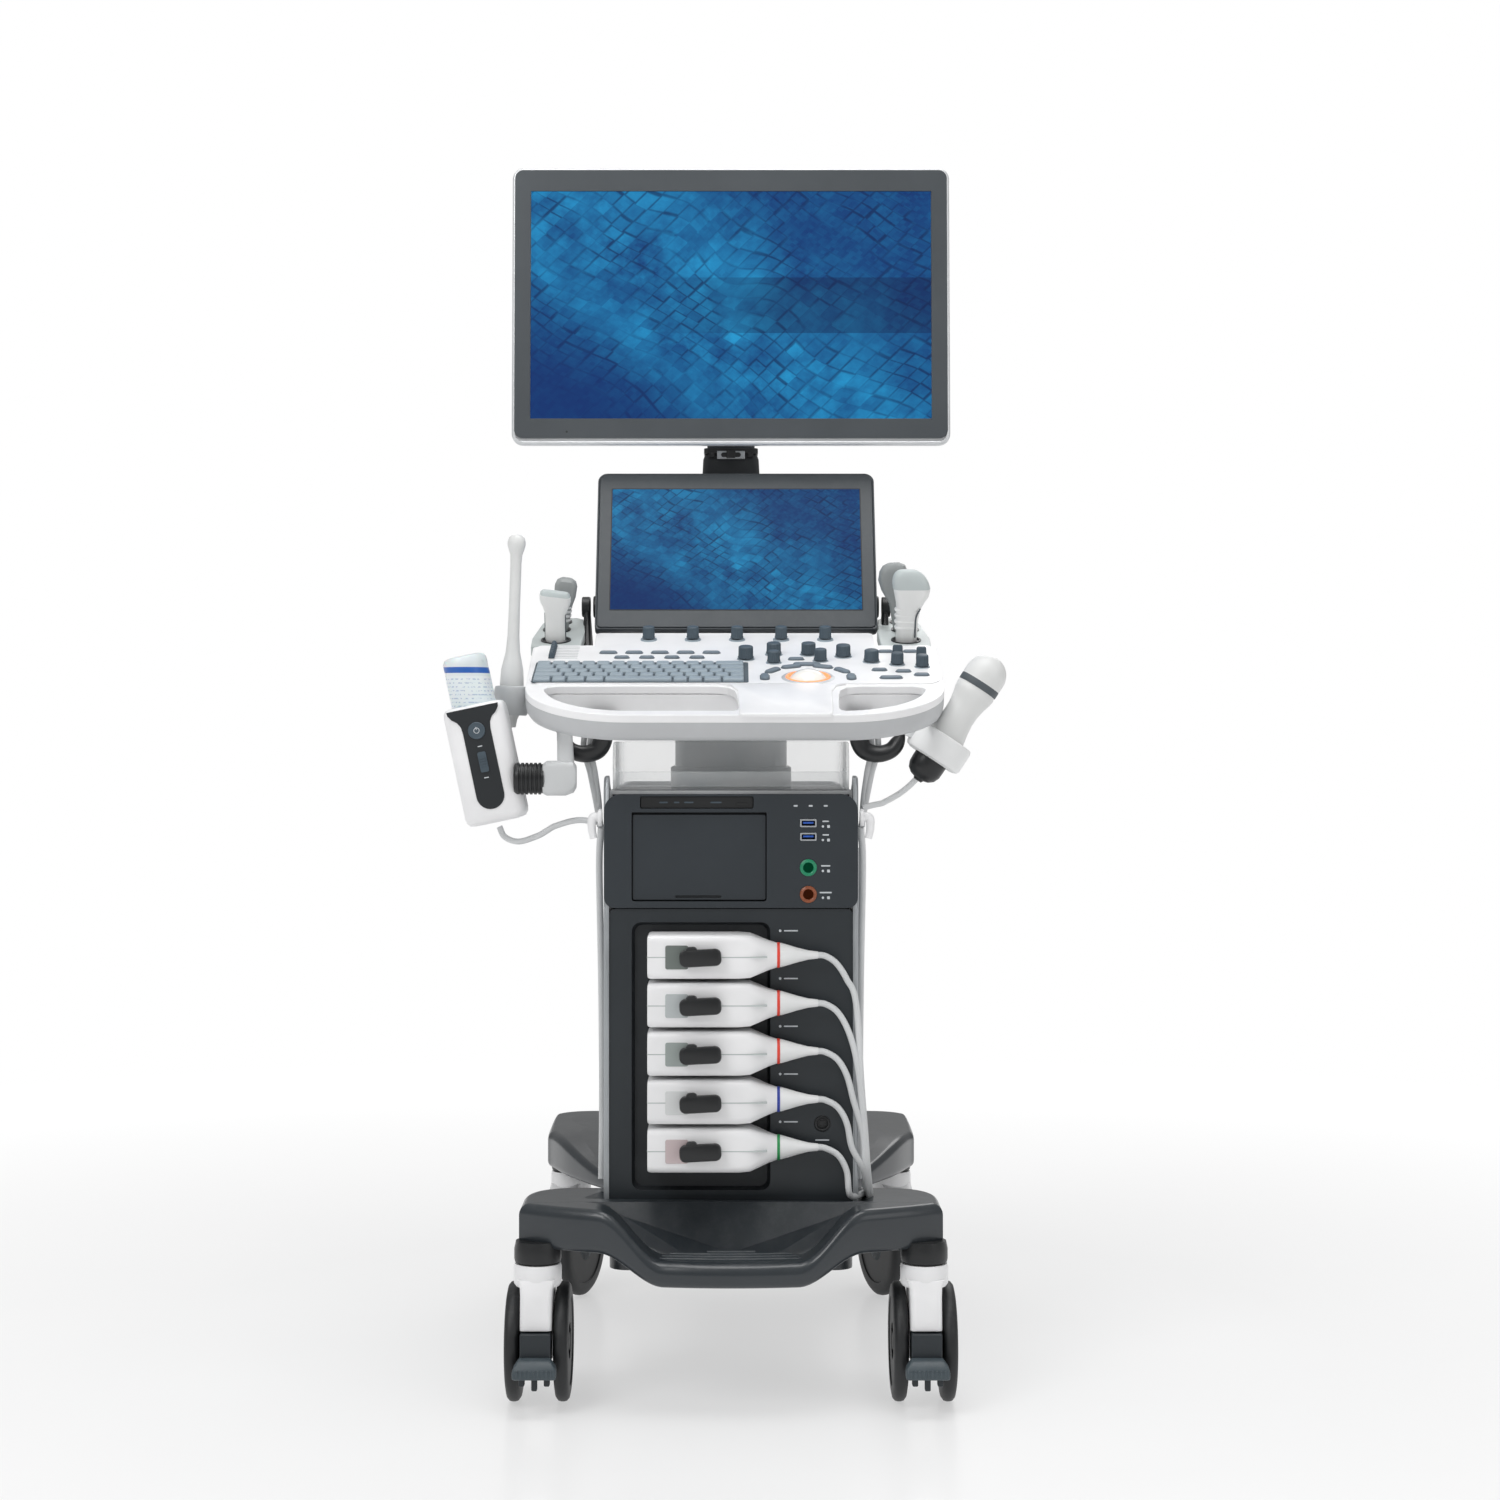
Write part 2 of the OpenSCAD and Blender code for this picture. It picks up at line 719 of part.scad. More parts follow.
module on_monitor() translate([0, mon_y, mon_z]) rotate([-mon_tilt, 0, 0]) children();

module monitor_neck() color(black) {
  translate([0, arm_y, 1200]) cylinder(26, r = 24);
  on_monitor() {
    span(-20, 20, tilt_y - 9, 92, -4, 13);
    sides() translate([19.5, tilt_y, 0]) rotate([0, 90, 0]) cylinder(12, r = 5);
    translate([-20, tilt_y, 0]) rotate([0, 90, 0]) cylinder(40, r = 9);
  }
}

module monitor_shell() color(light_grey) on_monitor() {
  difference() {
    union() {
      along_y(8, 30) rr(mon_w, mon_h, 14);
      along_y(30, mon_t) rr(mon_w - 120, mon_h - 90, 14);
    }
    along_y(7, 16) rr(mon_w - 12, mon_h - 12, 9);
  }
  sides() difference() {
    span(21, 32, mon_t, tilt_y + 9, -12, 12);
    translate([20, tilt_y, 0]) rotate([0, 90, 0]) cylinder(14, r = 5 + run_gap);
  }
}

module monitor_bezel() color(knob_grey) on_monitor() difference() {
  union() {
    along_y(0, 8) rr(mon_w - 6, mon_h - 6, 12);
    along_y(8, 15.9) rr(mon_w - 12, mon_h - 12, 9);
  }
  span(-glass_w / 2, glass_w / 2, -1, 6, glass_up - glass_h / 2, glass_up + glass_h / 2);
}

module monitor_screen() color([0.05, 0.2, 0.45]) on_monitor()
  span(-glass_w / 2, glass_w / 2, 1, 6, glass_up - glass_h / 2, glass_up + glass_h / 2);

base_shell();
footrest_mat();
cabinet_frame();
side_panels();
rear_panel();
upper_fascia();
lower_fascia();
io_ports();
connector_bodies();
power_supply();
engine_boards();
tray_clear();
column_outer();
cables_lower();
fork_fl();
fork_fr();
fork_rl();
fork_rr();
wheels_fl();
wheels_fr();
wheels_rl();
wheels_rr();
pedal_fl();
pedal_fr();
pedal_rl();
pedal_rr();
lever_1();
lever_2();
lever_3();
lever_4();
lever_5();
bay_door();
disc_tray();
fan_rotor();
column_inner();
console_shell();
console_top();
probe_holders();
hooks();
cables_upper();
warmer_housing();
keys();
buttons();
tgc_sliders();
trackball();
knobs();
knob_gain();
gel_bottle();
probes_left();
probes_right();
probe_cavity();
probe_volume();
touch_panel();
touch_glass();
arm_lower();
arm_upper();
monitor_neck();
monitor_shell();
monitor_bezel();
monitor_screen();
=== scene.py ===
import json
import math
from contextlib import contextmanager

import bmesh
import bpy
from mathutils import Matrix, Vector


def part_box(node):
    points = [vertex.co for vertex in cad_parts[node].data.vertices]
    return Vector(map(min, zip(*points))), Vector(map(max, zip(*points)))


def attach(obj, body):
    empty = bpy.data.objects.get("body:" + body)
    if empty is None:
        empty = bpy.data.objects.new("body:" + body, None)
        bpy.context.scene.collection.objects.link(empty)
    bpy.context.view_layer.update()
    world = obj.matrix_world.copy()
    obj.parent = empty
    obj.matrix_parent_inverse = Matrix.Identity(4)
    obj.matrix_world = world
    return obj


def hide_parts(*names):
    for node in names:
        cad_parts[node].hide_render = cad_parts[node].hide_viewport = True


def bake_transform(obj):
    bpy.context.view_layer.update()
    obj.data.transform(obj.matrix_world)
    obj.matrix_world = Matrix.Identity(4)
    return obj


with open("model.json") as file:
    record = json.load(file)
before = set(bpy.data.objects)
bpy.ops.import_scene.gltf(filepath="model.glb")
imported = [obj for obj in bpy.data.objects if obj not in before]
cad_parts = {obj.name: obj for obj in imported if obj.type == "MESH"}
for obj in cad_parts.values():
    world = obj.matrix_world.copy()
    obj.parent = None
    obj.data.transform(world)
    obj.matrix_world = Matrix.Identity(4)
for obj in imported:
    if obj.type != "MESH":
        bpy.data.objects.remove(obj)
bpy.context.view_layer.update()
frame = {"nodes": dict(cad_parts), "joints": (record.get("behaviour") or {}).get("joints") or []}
joints = {j["name"]: j for j in frame["joints"]}

# All lengths in this script are millimetres in a piece's own frame; MM turns them into metres.
MM = 0.001
SIDES = (-1, 1)


# ---------------------------------------------------------------- frames

def lean_x(degrees, at):
    """A frame at a point in millimetres, turned about the left-right axis."""
    return Matrix.Translation(Vector(at) * MM) @ Matrix.Rotation(math.radians(degrees), 4, "X")


def lean_y(degrees, at):
    """A frame at a point in millimetres, turned about the front-rear axis."""
    return Matrix.Translation(Vector(at) * MM) @ Matrix.Rotation(math.radians(degrees), 4, "Y")


def joint_at(name):
    return Vector(joints[name]["pos_m"]) / MM


def axis_lean(name):
    """Angle of a joint's axis from the vertical, in the front view, in degrees."""
    x, _, z = joints[name]["axis"]
    return math.degrees(math.atan2(x, z))


DECK_T = 22
PANEL_TILT = math.degrees(math.atan2(-joints["keys_press"]["axis"][1], joints["keys_press"]["axis"][2]))
RIM_S = 4
deck_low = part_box("console_top")[0] / MM
tilt = math.radians(PANEL_TILT)
PANEL = lean_x(PANEL_TILT, (0, deck_low.y - RIM_S * math.cos(tilt),
                            deck_low.z + DECK_T * math.cos(tilt) - RIM_S * math.sin(tilt)))
CONSOLE_DX = joint_at("touch_tilt").x
TOUCH_LEAN, MON_LEAN = 25, 3
TOUCH = lean_x(-TOUCH_LEAN, (CONSOLE_DX, -1, 827))
MON = lean_x(-MON_LEAN, (0, 65, 1214.5))
WARMER = lean_y(axis_lean("gel_bottle_lift"), (-263, -235, 674))
CUP = lean_y(axis_lean("probe_volume_lift"), (222.6, -235, 690))
CAVITY = lean_y(axis_lean("probe_cavity_lift"), (-241, -180, 742))


# ---------------------------------------------------------------- mesh code

def finish_mesh(name, bm, body, mat, place=None, bevel=0.0, segments=3, sharp=38, hides=()):
    """Turns a bmesh in millimetres into a piece that rides on a CAD body."""
    bm.normal_update()
    bmesh.ops.recalc_face_normals(bm, faces=bm.faces)
    for e in bm.edges:
        e.smooth = len(e.link_faces) == 2 and e.calc_face_angle(0) < math.radians(sharp)
    for f in bm.faces:
        f.smooth = True
    mesh = bpy.data.meshes.new(name)
    bm.to_mesh(mesh)
    bm.free()
    mesh.transform((place or Matrix.Identity(4)) @ Matrix.Scale(MM, 4))
    obj = bpy.data.objects.new(name, mesh)
    bpy.context.scene.collection.objects.link(obj)
    mesh.materials.append(mat)
    if bevel:
        b = obj.modifiers.new("edges", "BEVEL")
        b.width, b.segments = bevel * MM, segments
        b.limit_method, b.angle_limit = "ANGLE", math.radians(35)
        b.harden_normals = True
        b.use_clamp_overlap = True
    if body:
        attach(obj, body)
    if hides:
        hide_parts(*hides)
    return obj


@contextmanager
def piece(name, body, mat, place=None, **looks):
    """Opens an empty bmesh and finishes it as a piece when the block ends."""
    bm = bmesh.new()
    yield bm
    finish_mesh(name, bm, body, mat, place, **looks)


def add_loft(bm, rings, cap=True):
    """Skins closed rings of equal length."""
    rows = [[bm.verts.new(p) for p in ring] for ring in rings]
    n = len(rows[0])
    for a, b in zip(rows, rows[1:]):
        for i in range(n):
            bm.faces.new((a[i], a[(i + 1) % n], b[(i + 1) % n], b[i]))
    if cap:
        bm.faces.new(rows[0])
        bm.faces.new(rows[-1])
    return rows


def add_box(bm, x0, x1, y0, y1, z0, z1, turn=None):
    ring = [(x0, y0), (x1, y0), (x1, y1), (x0, y1)]
    corners = [[Vector((x, y, z)) for x, y in ring] for z in (z0, z1)]
    if turn:
        corners = [[turn @ p for p in r] for r in corners]
    return add_loft(bm, corners)


def rounded(w, h, r, n=6, cx=0.0, cy=0.0):
    """Outline of a rounded rectangle; r is one radius or four, from the top right corner round."""
    radii = [r] * 4 if isinstance(r, (int, float)) else r
    out = []
    for k, (sx, sy) in enumerate(((1, 1), (-1, 1), (-1, -1), (1, -1))):
        rk = radii[k]
        for i in range(n + 1):
            a = math.pi / 2 * (k + i / n)
            out.append((cx + sx * (w / 2 - rk) + rk * math.cos(a), cy + sy * (h / 2 - rk) + rk * math.sin(a)))
    return out


def circle(r, n=32, cx=0.0, cy=0.0):
    return [(cx + r * math.cos(2 * math.pi * i / n), cy + r * math.sin(2 * math.pi * i / n))
            for i in range(n)]


def stadium(w, h, n=8, cx=0.0, cy=0.0, turn=0.0):
    c, s = math.cos(turn), math.sin(turn)
    return [(cx + x * c - y * s, cy + x * s + y * c) for x, y in rounded(w, h, h / 2 - 0.01, n)]


def flat(points, z):
    return [Vector((x, y, z)) for x, y in points]


def upright(points, y):
    """An outline in the x-z plane at depth y."""
    return [Vector((x, y, z)) for x, z in points]


def sideways(points, x):
    """An outline in the y-z plane at x."""
    return [Vector((x, y, z)) for y, z in points]


def add_plate(bm, outer, holes, lift, a, b):
    """A plate with holes between two levels; lift turns an outline and a level into points."""
    loops = []
    for level in (a, b):
        edges = []
        for outline in [outer] + holes:
            vs = [bm.verts.new(p) for p in lift(outline, level)]
            edges += [bm.edges.new((vs[i], vs[(i + 1) % len(vs)])) for i in range(len(vs))]
            loops.append(vs)
        bmesh.ops.triangle_fill(bm, use_beauty=True, use_dissolve=False, edges=edges)
    half = len(loops) // 2
    for p, q in zip(loops[:half], loops[half:]):
        for i in range(len(p)):
            bm.faces.new((p[i], p[(i + 1) % len(p)], q[(i + 1) % len(q)], q[i]))


def add_lathe(bm, profile, n=48, turn=None, rib=0.0, ribs=0):
    """Revolves (radius, height) points about z; ribs make a knurled side."""
    rings = []
    for r, z in profile:
        ring = []
        for i in range(n):
            a = 2 * math.pi * i / n
            rr = r * (1 - rib * (0.5 + 0.5 * math.cos(ribs * a))) if ribs else r
            ring.append(Vector((rr * math.cos(a), rr * math.sin(a), z)))
        rings.append([turn @ p for p in ring] if turn else ring)
    add_loft(bm, rings)


def spline(points, steps=10):
    """A smooth curve through points."""
    p = [Vector(q) for q in points]
    p = [2 * p[0] - p[1]] + p + [2 * p[-1] - p[-2]]
    out = []
    for i in range(1, len(p) - 2):
        for k in range(steps):
            t = k / steps
            a, b, c, d = p[i - 1], p[i], p[i + 1], p[i + 2]
            out.append(0.5 * (2 * b + (c - a) * t + (2 * a - 5 * b + 4 * c - d) * t * t
                              + (3 * b - a - 3 * c + d) * t ** 3))
    return out + [p[-2]]


def add_tube(bm, path, radius, n=14, flatten=1.0):
    """Sweeps a circle along a path; radius is a number or a function of the share of the length."""
    tangents = [((path[min(i + 1, len(path) - 1)] - path[max(i - 1, 0)]).normalized())
                for i in range(len(path))]
    side = tangents[0].orthogonal().normalized()
    rings = []
    for i, (p, t) in enumerate(zip(path, tangents)):
        side = (side - t * side.dot(t)).normalized()
        other = t.cross(side)
        r = radius(i / (len(path) - 1)) if callable(radius) else radius
        rings.append([p + r * (math.cos(a) * side + flatten * math.sin(a) * other)
                      for a in (2 * math.pi * k / n for k in range(n))])
    add_loft(bm, rings)


def smooth_step(x, a, b):
    t = min(1.0, max(0.0, (x - a) / (b - a)))
    return t * t * (3 - 2 * t)


def shift(at):
    return Matrix.Translation(Vector(at))


def turned(axis, degrees, at=(0, 0, 0)):
    return shift(at) @ Matrix.Rotation(math.radians(degrees), 4, axis)


TO_Y = Matrix.Rotation(math.radians(90), 4, "X")      # z axis to -y, towards the operator
TO_X = Matrix.Rotation(math.radians(90), 4, "Y")      # z axis to +x


# ---------------------------------------------------------------- materials

def srgb(hexa):
    out = []
    for i in (0, 2, 4):
        c = int(hexa[i:i + 2], 16) / 255
        out.append(c / 12.92 if c <= 0.04045 else ((c + 0.055) / 1.055) ** 2.4)
    return (*out, 1.0)


class Nodes:
    """Short names for building a node tree."""

    def __init__(self, name):
        self.mat = bpy.data.materials.new(name)
        self.mat.use_nodes = True
        self.tree = self.mat.node_tree
        self.bsdf = self.tree.nodes["Principled BSDF"]

    def add(self, kind, **inputs):
        node = self.tree.nodes.new(kind)
        for key, value in inputs.items():
            if key.startswith("_"):
                setattr(node, key[1:], value)
            else:
                self.put(node.inputs[key.replace("_", " ")], value)
        return node

    def put(self, socket, value):
        if isinstance(value, bpy.types.NodeSocket):
            self.tree.links.new(value, socket)
        else:
            socket.default_value = value

    def math(self, op, a, b=0.0, clamp=False):
        node = self.tree.nodes.new("ShaderNodeMath")
        node.operation, node.use_clamp = op, clamp
        self.put(node.inputs[0], a)
        self.put(node.inputs[1], b)
        return node.outputs[0]

    def mix(self, factor, a, b, blend="MIX"):
        node = self.tree.nodes.new("ShaderNodeMix")
        node.data_type, node.blend_type = "RGBA", blend
        self.put(node.inputs[0], factor)
        self.put(node.inputs[6], a)
        self.put(node.inputs[7], b)
        return node.outputs[2]

    def noise(self, scale, detail=3.0, rough=0.5, vector=None):
        node = self.add("ShaderNodeTexNoise", Scale=scale, Detail=detail, Roughness=rough)
        self.put(node.inputs["Vector"], vector or self.place())
        return node.outputs["Fac"]

    def place(self):
        if not hasattr(self, "coords"):
            self.coords = self.add("ShaderNodeTexCoord").outputs["Object"]
        return self.coords

    def ramp(self, value, low, high):
        node = self.add("ShaderNodeMapRange", Value=value)
        node.inputs["From Min"].default_value, node.inputs["From Max"].default_value = low, high
        return node.outputs["Result"]

    def times(self, a, b):
        return self.math("MULTIPLY", a, b)

    def within(self, value, low, high):
        """1 between two limits and 0 outside them."""
        return self.times(self.math("GREATER_THAN", value, low), self.math("LESS_THAN", value, high))

    def finish(self, relief=None, **inputs):
        """Sets inputs of the surface shader; relief is strength, distance and height of the grain."""
        for key, value in inputs.items():
            self.put(self.bsdf.inputs[key.replace("_", " ")], value)
        if relief:
            bump = self.add("ShaderNodeBump", Strength=relief[0], Distance=relief[1], Height=relief[2])
            self.put(self.bsdf.inputs["Normal"], bump.outputs[0])
        return self.mat


def surface(name, colour, rough, grain=900, bump=0.06, wear=0.12, dust=0.05, metal=0.0, coat=0.0):
    """Moulded or painted surface: fine grain, uneven gloss, paler worn edges and a trace of dust."""
    n = Nodes(name)
    base = srgb(colour)
    broad = n.noise(7, 4, 0.6)
    fine = n.noise(grain, 2, 0.6)
    smudge = n.noise(26, 5, 0.7)
    dark = tuple(c * 0.93 for c in base[:3]) + (1,)
    pale = tuple(min(1, c * 1.05 + 0.002) for c in base[:3]) + (1,)
    colour_out = n.mix(n.ramp(broad, 0.35, 0.65), dark, pale)
    edges = n.ramp(n.add("ShaderNodeNewGeometry").outputs["Pointiness"], 0.51, 0.6)
    worn = n.times(edges, n.ramp(smudge, 0.4, 0.6))
    lighter = tuple(min(1, c * 1.5 + 0.03) for c in base[:3]) + (1,)
    colour_out = n.mix(n.times(worn, wear), colour_out, lighter)
    up = n.add("ShaderNodeSeparateXYZ")
    n.put(up.inputs[0], n.add("ShaderNodeNewGeometry").outputs["Normal"])
    dusty = n.times(n.math("MAXIMUM", up.outputs["Z"], 0.0), n.ramp(n.noise(60, 6, 0.75), 0.45, 0.8))
    colour_out = n.mix(n.times(dusty, dust), colour_out, (0.6, 0.59, 0.57, 1))
    n.finish(Base_Color=colour_out)
    gloss = n.math("ADD", rough - 0.06, n.times(n.math("ADD", smudge, n.times(fine, 0.4)), 0.09))
    n.finish(Roughness=n.math("ADD", gloss, n.times(worn, 0.08), clamp=True), Metallic=metal,
             Coat_Weight=coat, Coat_Roughness=0.12)
    height = n.math("ADD", fine, n.times(n.noise(grain / 5, 2), 0.5))
    return n.finish((bump, 0.0006, height))


WHITE = surface("white_abs", "f1f1f2", 0.34, bump=0.035, wear=0.1, dust=0.03, coat=0.15)
WHITE_SOFT = surface("white_soft", "e9eaea", 0.45, grain=700, bump=0.05)
# The deck's front band is the deck's white plastic; its grey is painted shade for the face turned away from
# the lamps above.
BAND_PAINTED_SHADE = surface("deck_band_painted_shade", "b9bbbd", 0.4, grain=900, bump=0.04, wear=0.08, coat=0.1)
SILVER = surface("silver_paint", "cfd1d3", 0.3, grain=1500, bump=0.03, metal=0.3)
EDGE = surface("edge_silver", "a4a8ab", 0.3, grain=1500, bump=0.03, metal=0.6)
COLUMN = surface("column_grey", "e2e3e4", 0.36, grain=1300, bump=0.03)
GEL_HAND = surface("probe_shell", "dcdddc", 0.4, grain=800, bump=0.05)
PROBE_GREY = surface("probe_grey", "8f9393", 0.45, grain=800, bump=0.06)
LIGHT_GREY = surface("light_grey_abs", "c9cbcc", 0.42)
HOLDER = surface("holder_grey", "b5bcbb", 0.4)
FASCIA = surface("fascia_dark", "252c32", 0.38, grain=1300, bump=0.08, wear=0.2, dust=0.04)
FASCIA_LOW = surface("fascia_low", "20272c", 0.42, grain=1300, bump=0.08, wear=0.2)
# Near-black, darker than the fascias; where it stands for vent slots it is painted shadow.
RECESS = surface("recess_dark", "181d21", 0.5, wear=0.1)
BASE = surface("base_slate", "282e33", 0.3, grain=1100, bump=0.05, wear=0.14, dust=0.04, coat=0.25)
BLACK = surface("black_abs", "131517", 0.36, wear=0.2)
RUBBER = surface("tyre_rubber", "1a1c1e", 0.5, grain=600, bump=0.1, wear=0.14, dust=0.06)
MAT_RUBBER = surface("mat_rubber", "363d42", 0.4, grain=500, bump=0.2, dust=0.12)
PEDAL = surface("pedal_slate", "414c52", 0.42, wear=0.3)
WELL = surface("fork_well", "22292e", 0.45, wear=0.15)
BEZEL = surface("bezel_grey", "43484c", 0.42, grain=1600, bump=0.04, wear=0.1)
KNOB = surface("knob_slate", "42505a", 0.46, grain=1200, bump=0.1, wear=0.2)
KEY = surface("key_grey", "929fa8", 0.44, grain=1200, bump=0.05)
KEY_WELL = surface("key_well", "4a555c", 0.55)
BUTTON = surface("button_grey", "697680", 0.42)
BALL = surface("ball_white", "f3f0ea", 0.18, bump=0.01, coat=0.5)
CABLE = surface("cable_sheath", "d4d6d7", 0.5, grain=500, bump=0.08)
METAL = surface("plated_steel", "b9bcbf", 0.28, grain=1800, bump=0.03, metal=1.0, wear=0.3)
ARM = surface("arm_black", "26292c", 0.42, grain=1000, wear=0.25)
CIRCUIT = surface("circuit_green", "1d5a3a", 0.5)
LENS = surface("probe_lens", "b4bcbc", 0.5, grain=400)
PROBE_DARK = surface("probe_slate", "4b5257", 0.5, grain=500, bump=0.12)
RED = surface("ring_red", "e0402e", 0.4)
BLUE = surface("ring_blue", "2b3f9c", 0.4)
GREEN = surface("ring_green", "1f8f4e", 0.4)
PLATES = [surface("plate_%d" % i, c, 0.4) for i, c in
          enumerate(("6d7571", "b9bfc0", "9aa3a0", "d9dbdb", "c9b9ba"))]


def glowing(name, colour, strength, rough=0.3):
    n = Nodes(name)
    deep = tuple(c * 0.85 for c in srgb(colour)[:3]) + (1,)
    shade = n.mix(n.ramp(n.noise(220, 3), 0.3, 0.7), deep, srgb(colour))
    return n.finish(Base_Color=shade, Emission_Color=shade, Emission_Strength=strength,
                    Roughness=n.math("ADD", rough, n.times(n.noise(90), 0.1)),
                    relief=(0.03, 0.0004, n.noise(900)))


ORANGE = glowing("ball_ring_glow", "f4a06a", 0.55)
# Printed marks, port rings and USB tongues are no lamps: their faint glow is painted light.
MARK = glowing("printed_mark", "c9ced2", 0.05)
PORT_GREEN = glowing("port_green", "16825c", 0.15)
PORT_BROWN = glowing("port_brown", "8a4a2c", 0.1)
USB_BLUE = glowing("usb_blue", "2456b4", 0.2)


def clear(name, tint, rough, alpha_edge):
    """Clear plastic that stays bright over a pale floor."""
    n = Nodes(name)
    n.finish(Base_Color=n.mix(n.ramp(n.noise(30), 0.3, 0.7), srgb(tint), (0.97, 0.98, 0.98, 1)),
             Roughness=n.math("ADD", rough, n.times(n.noise(140, 4), 0.05)), IOR=1.45)
    facing = n.add("ShaderNodeLayerWeight", Blend=0.35).outputs["Facing"]
    return n.finish(Alpha=n.math("ADD", 0.16, n.times(facing, alpha_edge), clamp=True),
                    relief=(0.02, 0.0005, n.noise(300)))


ACRYLIC = clear("clear_acrylic", "e2e8ea", 0.06, 0.6)


def display(name, width, height, strength, band=None):
    """A lit screen: a deep blue field of small tilted tiles, brighter towards the middle."""
    n = Nodes(name)
    xyz = n.add("ShaderNodeSeparateXYZ")
    n.put(xyz.inputs[0], n.add("ShaderNodeTexCoord").outputs["Generated"])
    u, v = xyz.outputs["X"], xyz.outputs["Z"]
    at = n.add("ShaderNodeCombineXYZ")
    n.put(at.inputs[0], n.times(u, width / height))
    n.put(at.inputs[1], v)
    at = at.outputs[0]

    def tiles(scale, angle, squeeze):
        turn = n.add("ShaderNodeMapping", Rotation=(0, 0, math.radians(angle)),
                     Scale=(scale, scale * squeeze, 1))
        warp = n.times(n.math("SUBTRACT", n.noise(1.3, 1.2, 0.5, at), 0.5), 0.3)
        moved = n.add("ShaderNodeVectorMath", _operation="ADD")
        n.put(moved.inputs[0], at)
        n.put(moved.inputs[1], warp)
        n.put(turn.inputs["Vector"], moved.outputs[0])
        cell = n.add("ShaderNodeTexVoronoi", _distance="CHEBYCHEV", Scale=1.0, Randomness=0.2)
        n.put(cell.inputs["Vector"], turn.outputs[0])
        split = n.add("ShaderNodeSeparateColor")
        n.put(split.inputs[0], cell.outputs["Color"])
        return split.outputs[0], cell.outputs["Distance"]

    shade, distance = tiles(15, 38, 1.35)
    small, _ = tiles(46, 38, 1.3)
    groove = n.times(n.ramp(distance, 0.4, 0.5), n.ramp(n.noise(3.1, 2, 0.5, at), 0.36, 0.58))
    clouds = n.noise(2.3, 5, 0.62, at)
    off = n.math("ABSOLUTE",
                 n.math("SUBTRACT", n.math("SUBTRACT", u, 0.42), n.times(n.math("SUBTRACT", 0.5, v), 0.7)))
    middle = n.math("SUBTRACT", 1.0, n.times(off, 1.9), clamp=True)
    light = n.times(n.ramp(clouds, 0.3, 0.68), n.math("ADD", 0.24, middle))
    light = n.times(light, n.math("ADD", 0.62, n.times(shade, 0.62)))
    light = n.math("ADD", light, n.times(n.math("SUBTRACT", small, 0.5), 0.1), clamp=True)
    colour = n.mix(light, srgb("04336e"), srgb("1f92c8"))
    colour = n.mix(n.times(groove, 0.72), colour, srgb("011c4c"))
    corner = n.times(n.ramp(n.math("ADD", u, v), 0.62, 0.2), 0.75)
    colour = n.mix(corner, colour, srgb("032a66"))
    if band:
        inside = n.times(n.within(v, *band), n.ramp(u, 0.27, 0.6))
        colour = n.mix(n.times(inside, 0.5), colour, srgb("021c48"))
    return n.finish(Base_Color=n.mix(0.9, colour, (0.01, 0.01, 0.012, 1)), Emission_Color=colour,
                    Emission_Strength=strength,
                    Roughness=n.math("ADD", 0.22, n.times(n.noise(9, 4), 0.12)), Specular_IOR_Level=0.06,
                    relief=(0.02, 0.0003, n.noise(1200)))


def bottle_label():
    """Translucent gel bottle with a pale label, a blue band and rows of faint dots in place of words."""
    n = Nodes("gel_bottle")
    xyz = n.add("ShaderNodeSeparateXYZ")
    n.put(xyz.inputs[0], n.add("ShaderNodeTexCoord").outputs["Generated"])
    v = xyz.outputs["Z"]
    gel = n.mix(n.ramp(n.noise(24), 0.3, 0.7), srgb("cfdcdf"), srgb("e1eaec"))
    band = n.within(v, 0.86, 0.9)
    rules = n.math("GREATER_THAN", n.math("SINE", n.times(v, 240)), 0.55)
    words = n.math("GREATER_THAN", n.noise(330, 1, 0.5), 0.52)
    label = n.within(v, 0.6, 0.84)
    colour = n.mix(n.times(label, 0.55), gel, srgb("e6eef0"))
    faint = n.times(n.times(label, rules), n.times(words, 0.45))
    colour = n.mix(faint, colour, srgb("4878b4"))
    colour = n.mix(band, colour, srgb("2c62b4"))
    return n.finish(Base_Color=colour, Roughness=n.math("ADD", 0.24, n.times(n.noise(50), 0.1)),
                    Subsurface_Weight=0.15, relief=(0.05, 0.001, n.noise(60)))


GEL = bottle_label()
MAIN_SCREEN = display("main_screen", 476.6, 268, 0.95, (0.375, 0.62))
TOUCH_SCREEN = display("touch_screen", 294, 165, 0.75)


# ---------------------------------------------------------------- base and casters

LOBE_X, LOBE_LOW, LOBE_TOP, DIP_LOW, DIP_TOP = 223, 167, 212, 135, 161
DIP_X, SHOULDER_X = 70, 138
FRONT_R = 400
CASTERS = (("fl", -203, -300, 0), ("fr", 203, -300, 0), ("rl", -203, 275, 160), ("rr", 203, 275, -160))
AXLE = (0, 25, 62.5)
base_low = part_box("base_shell")[0] / MM


def ease(x):
    """0 in the dipped middle, 1 on the lobes, with a straight slope between."""
    return smooth_step(abs(x), DIP_X, SHOULDER_X)


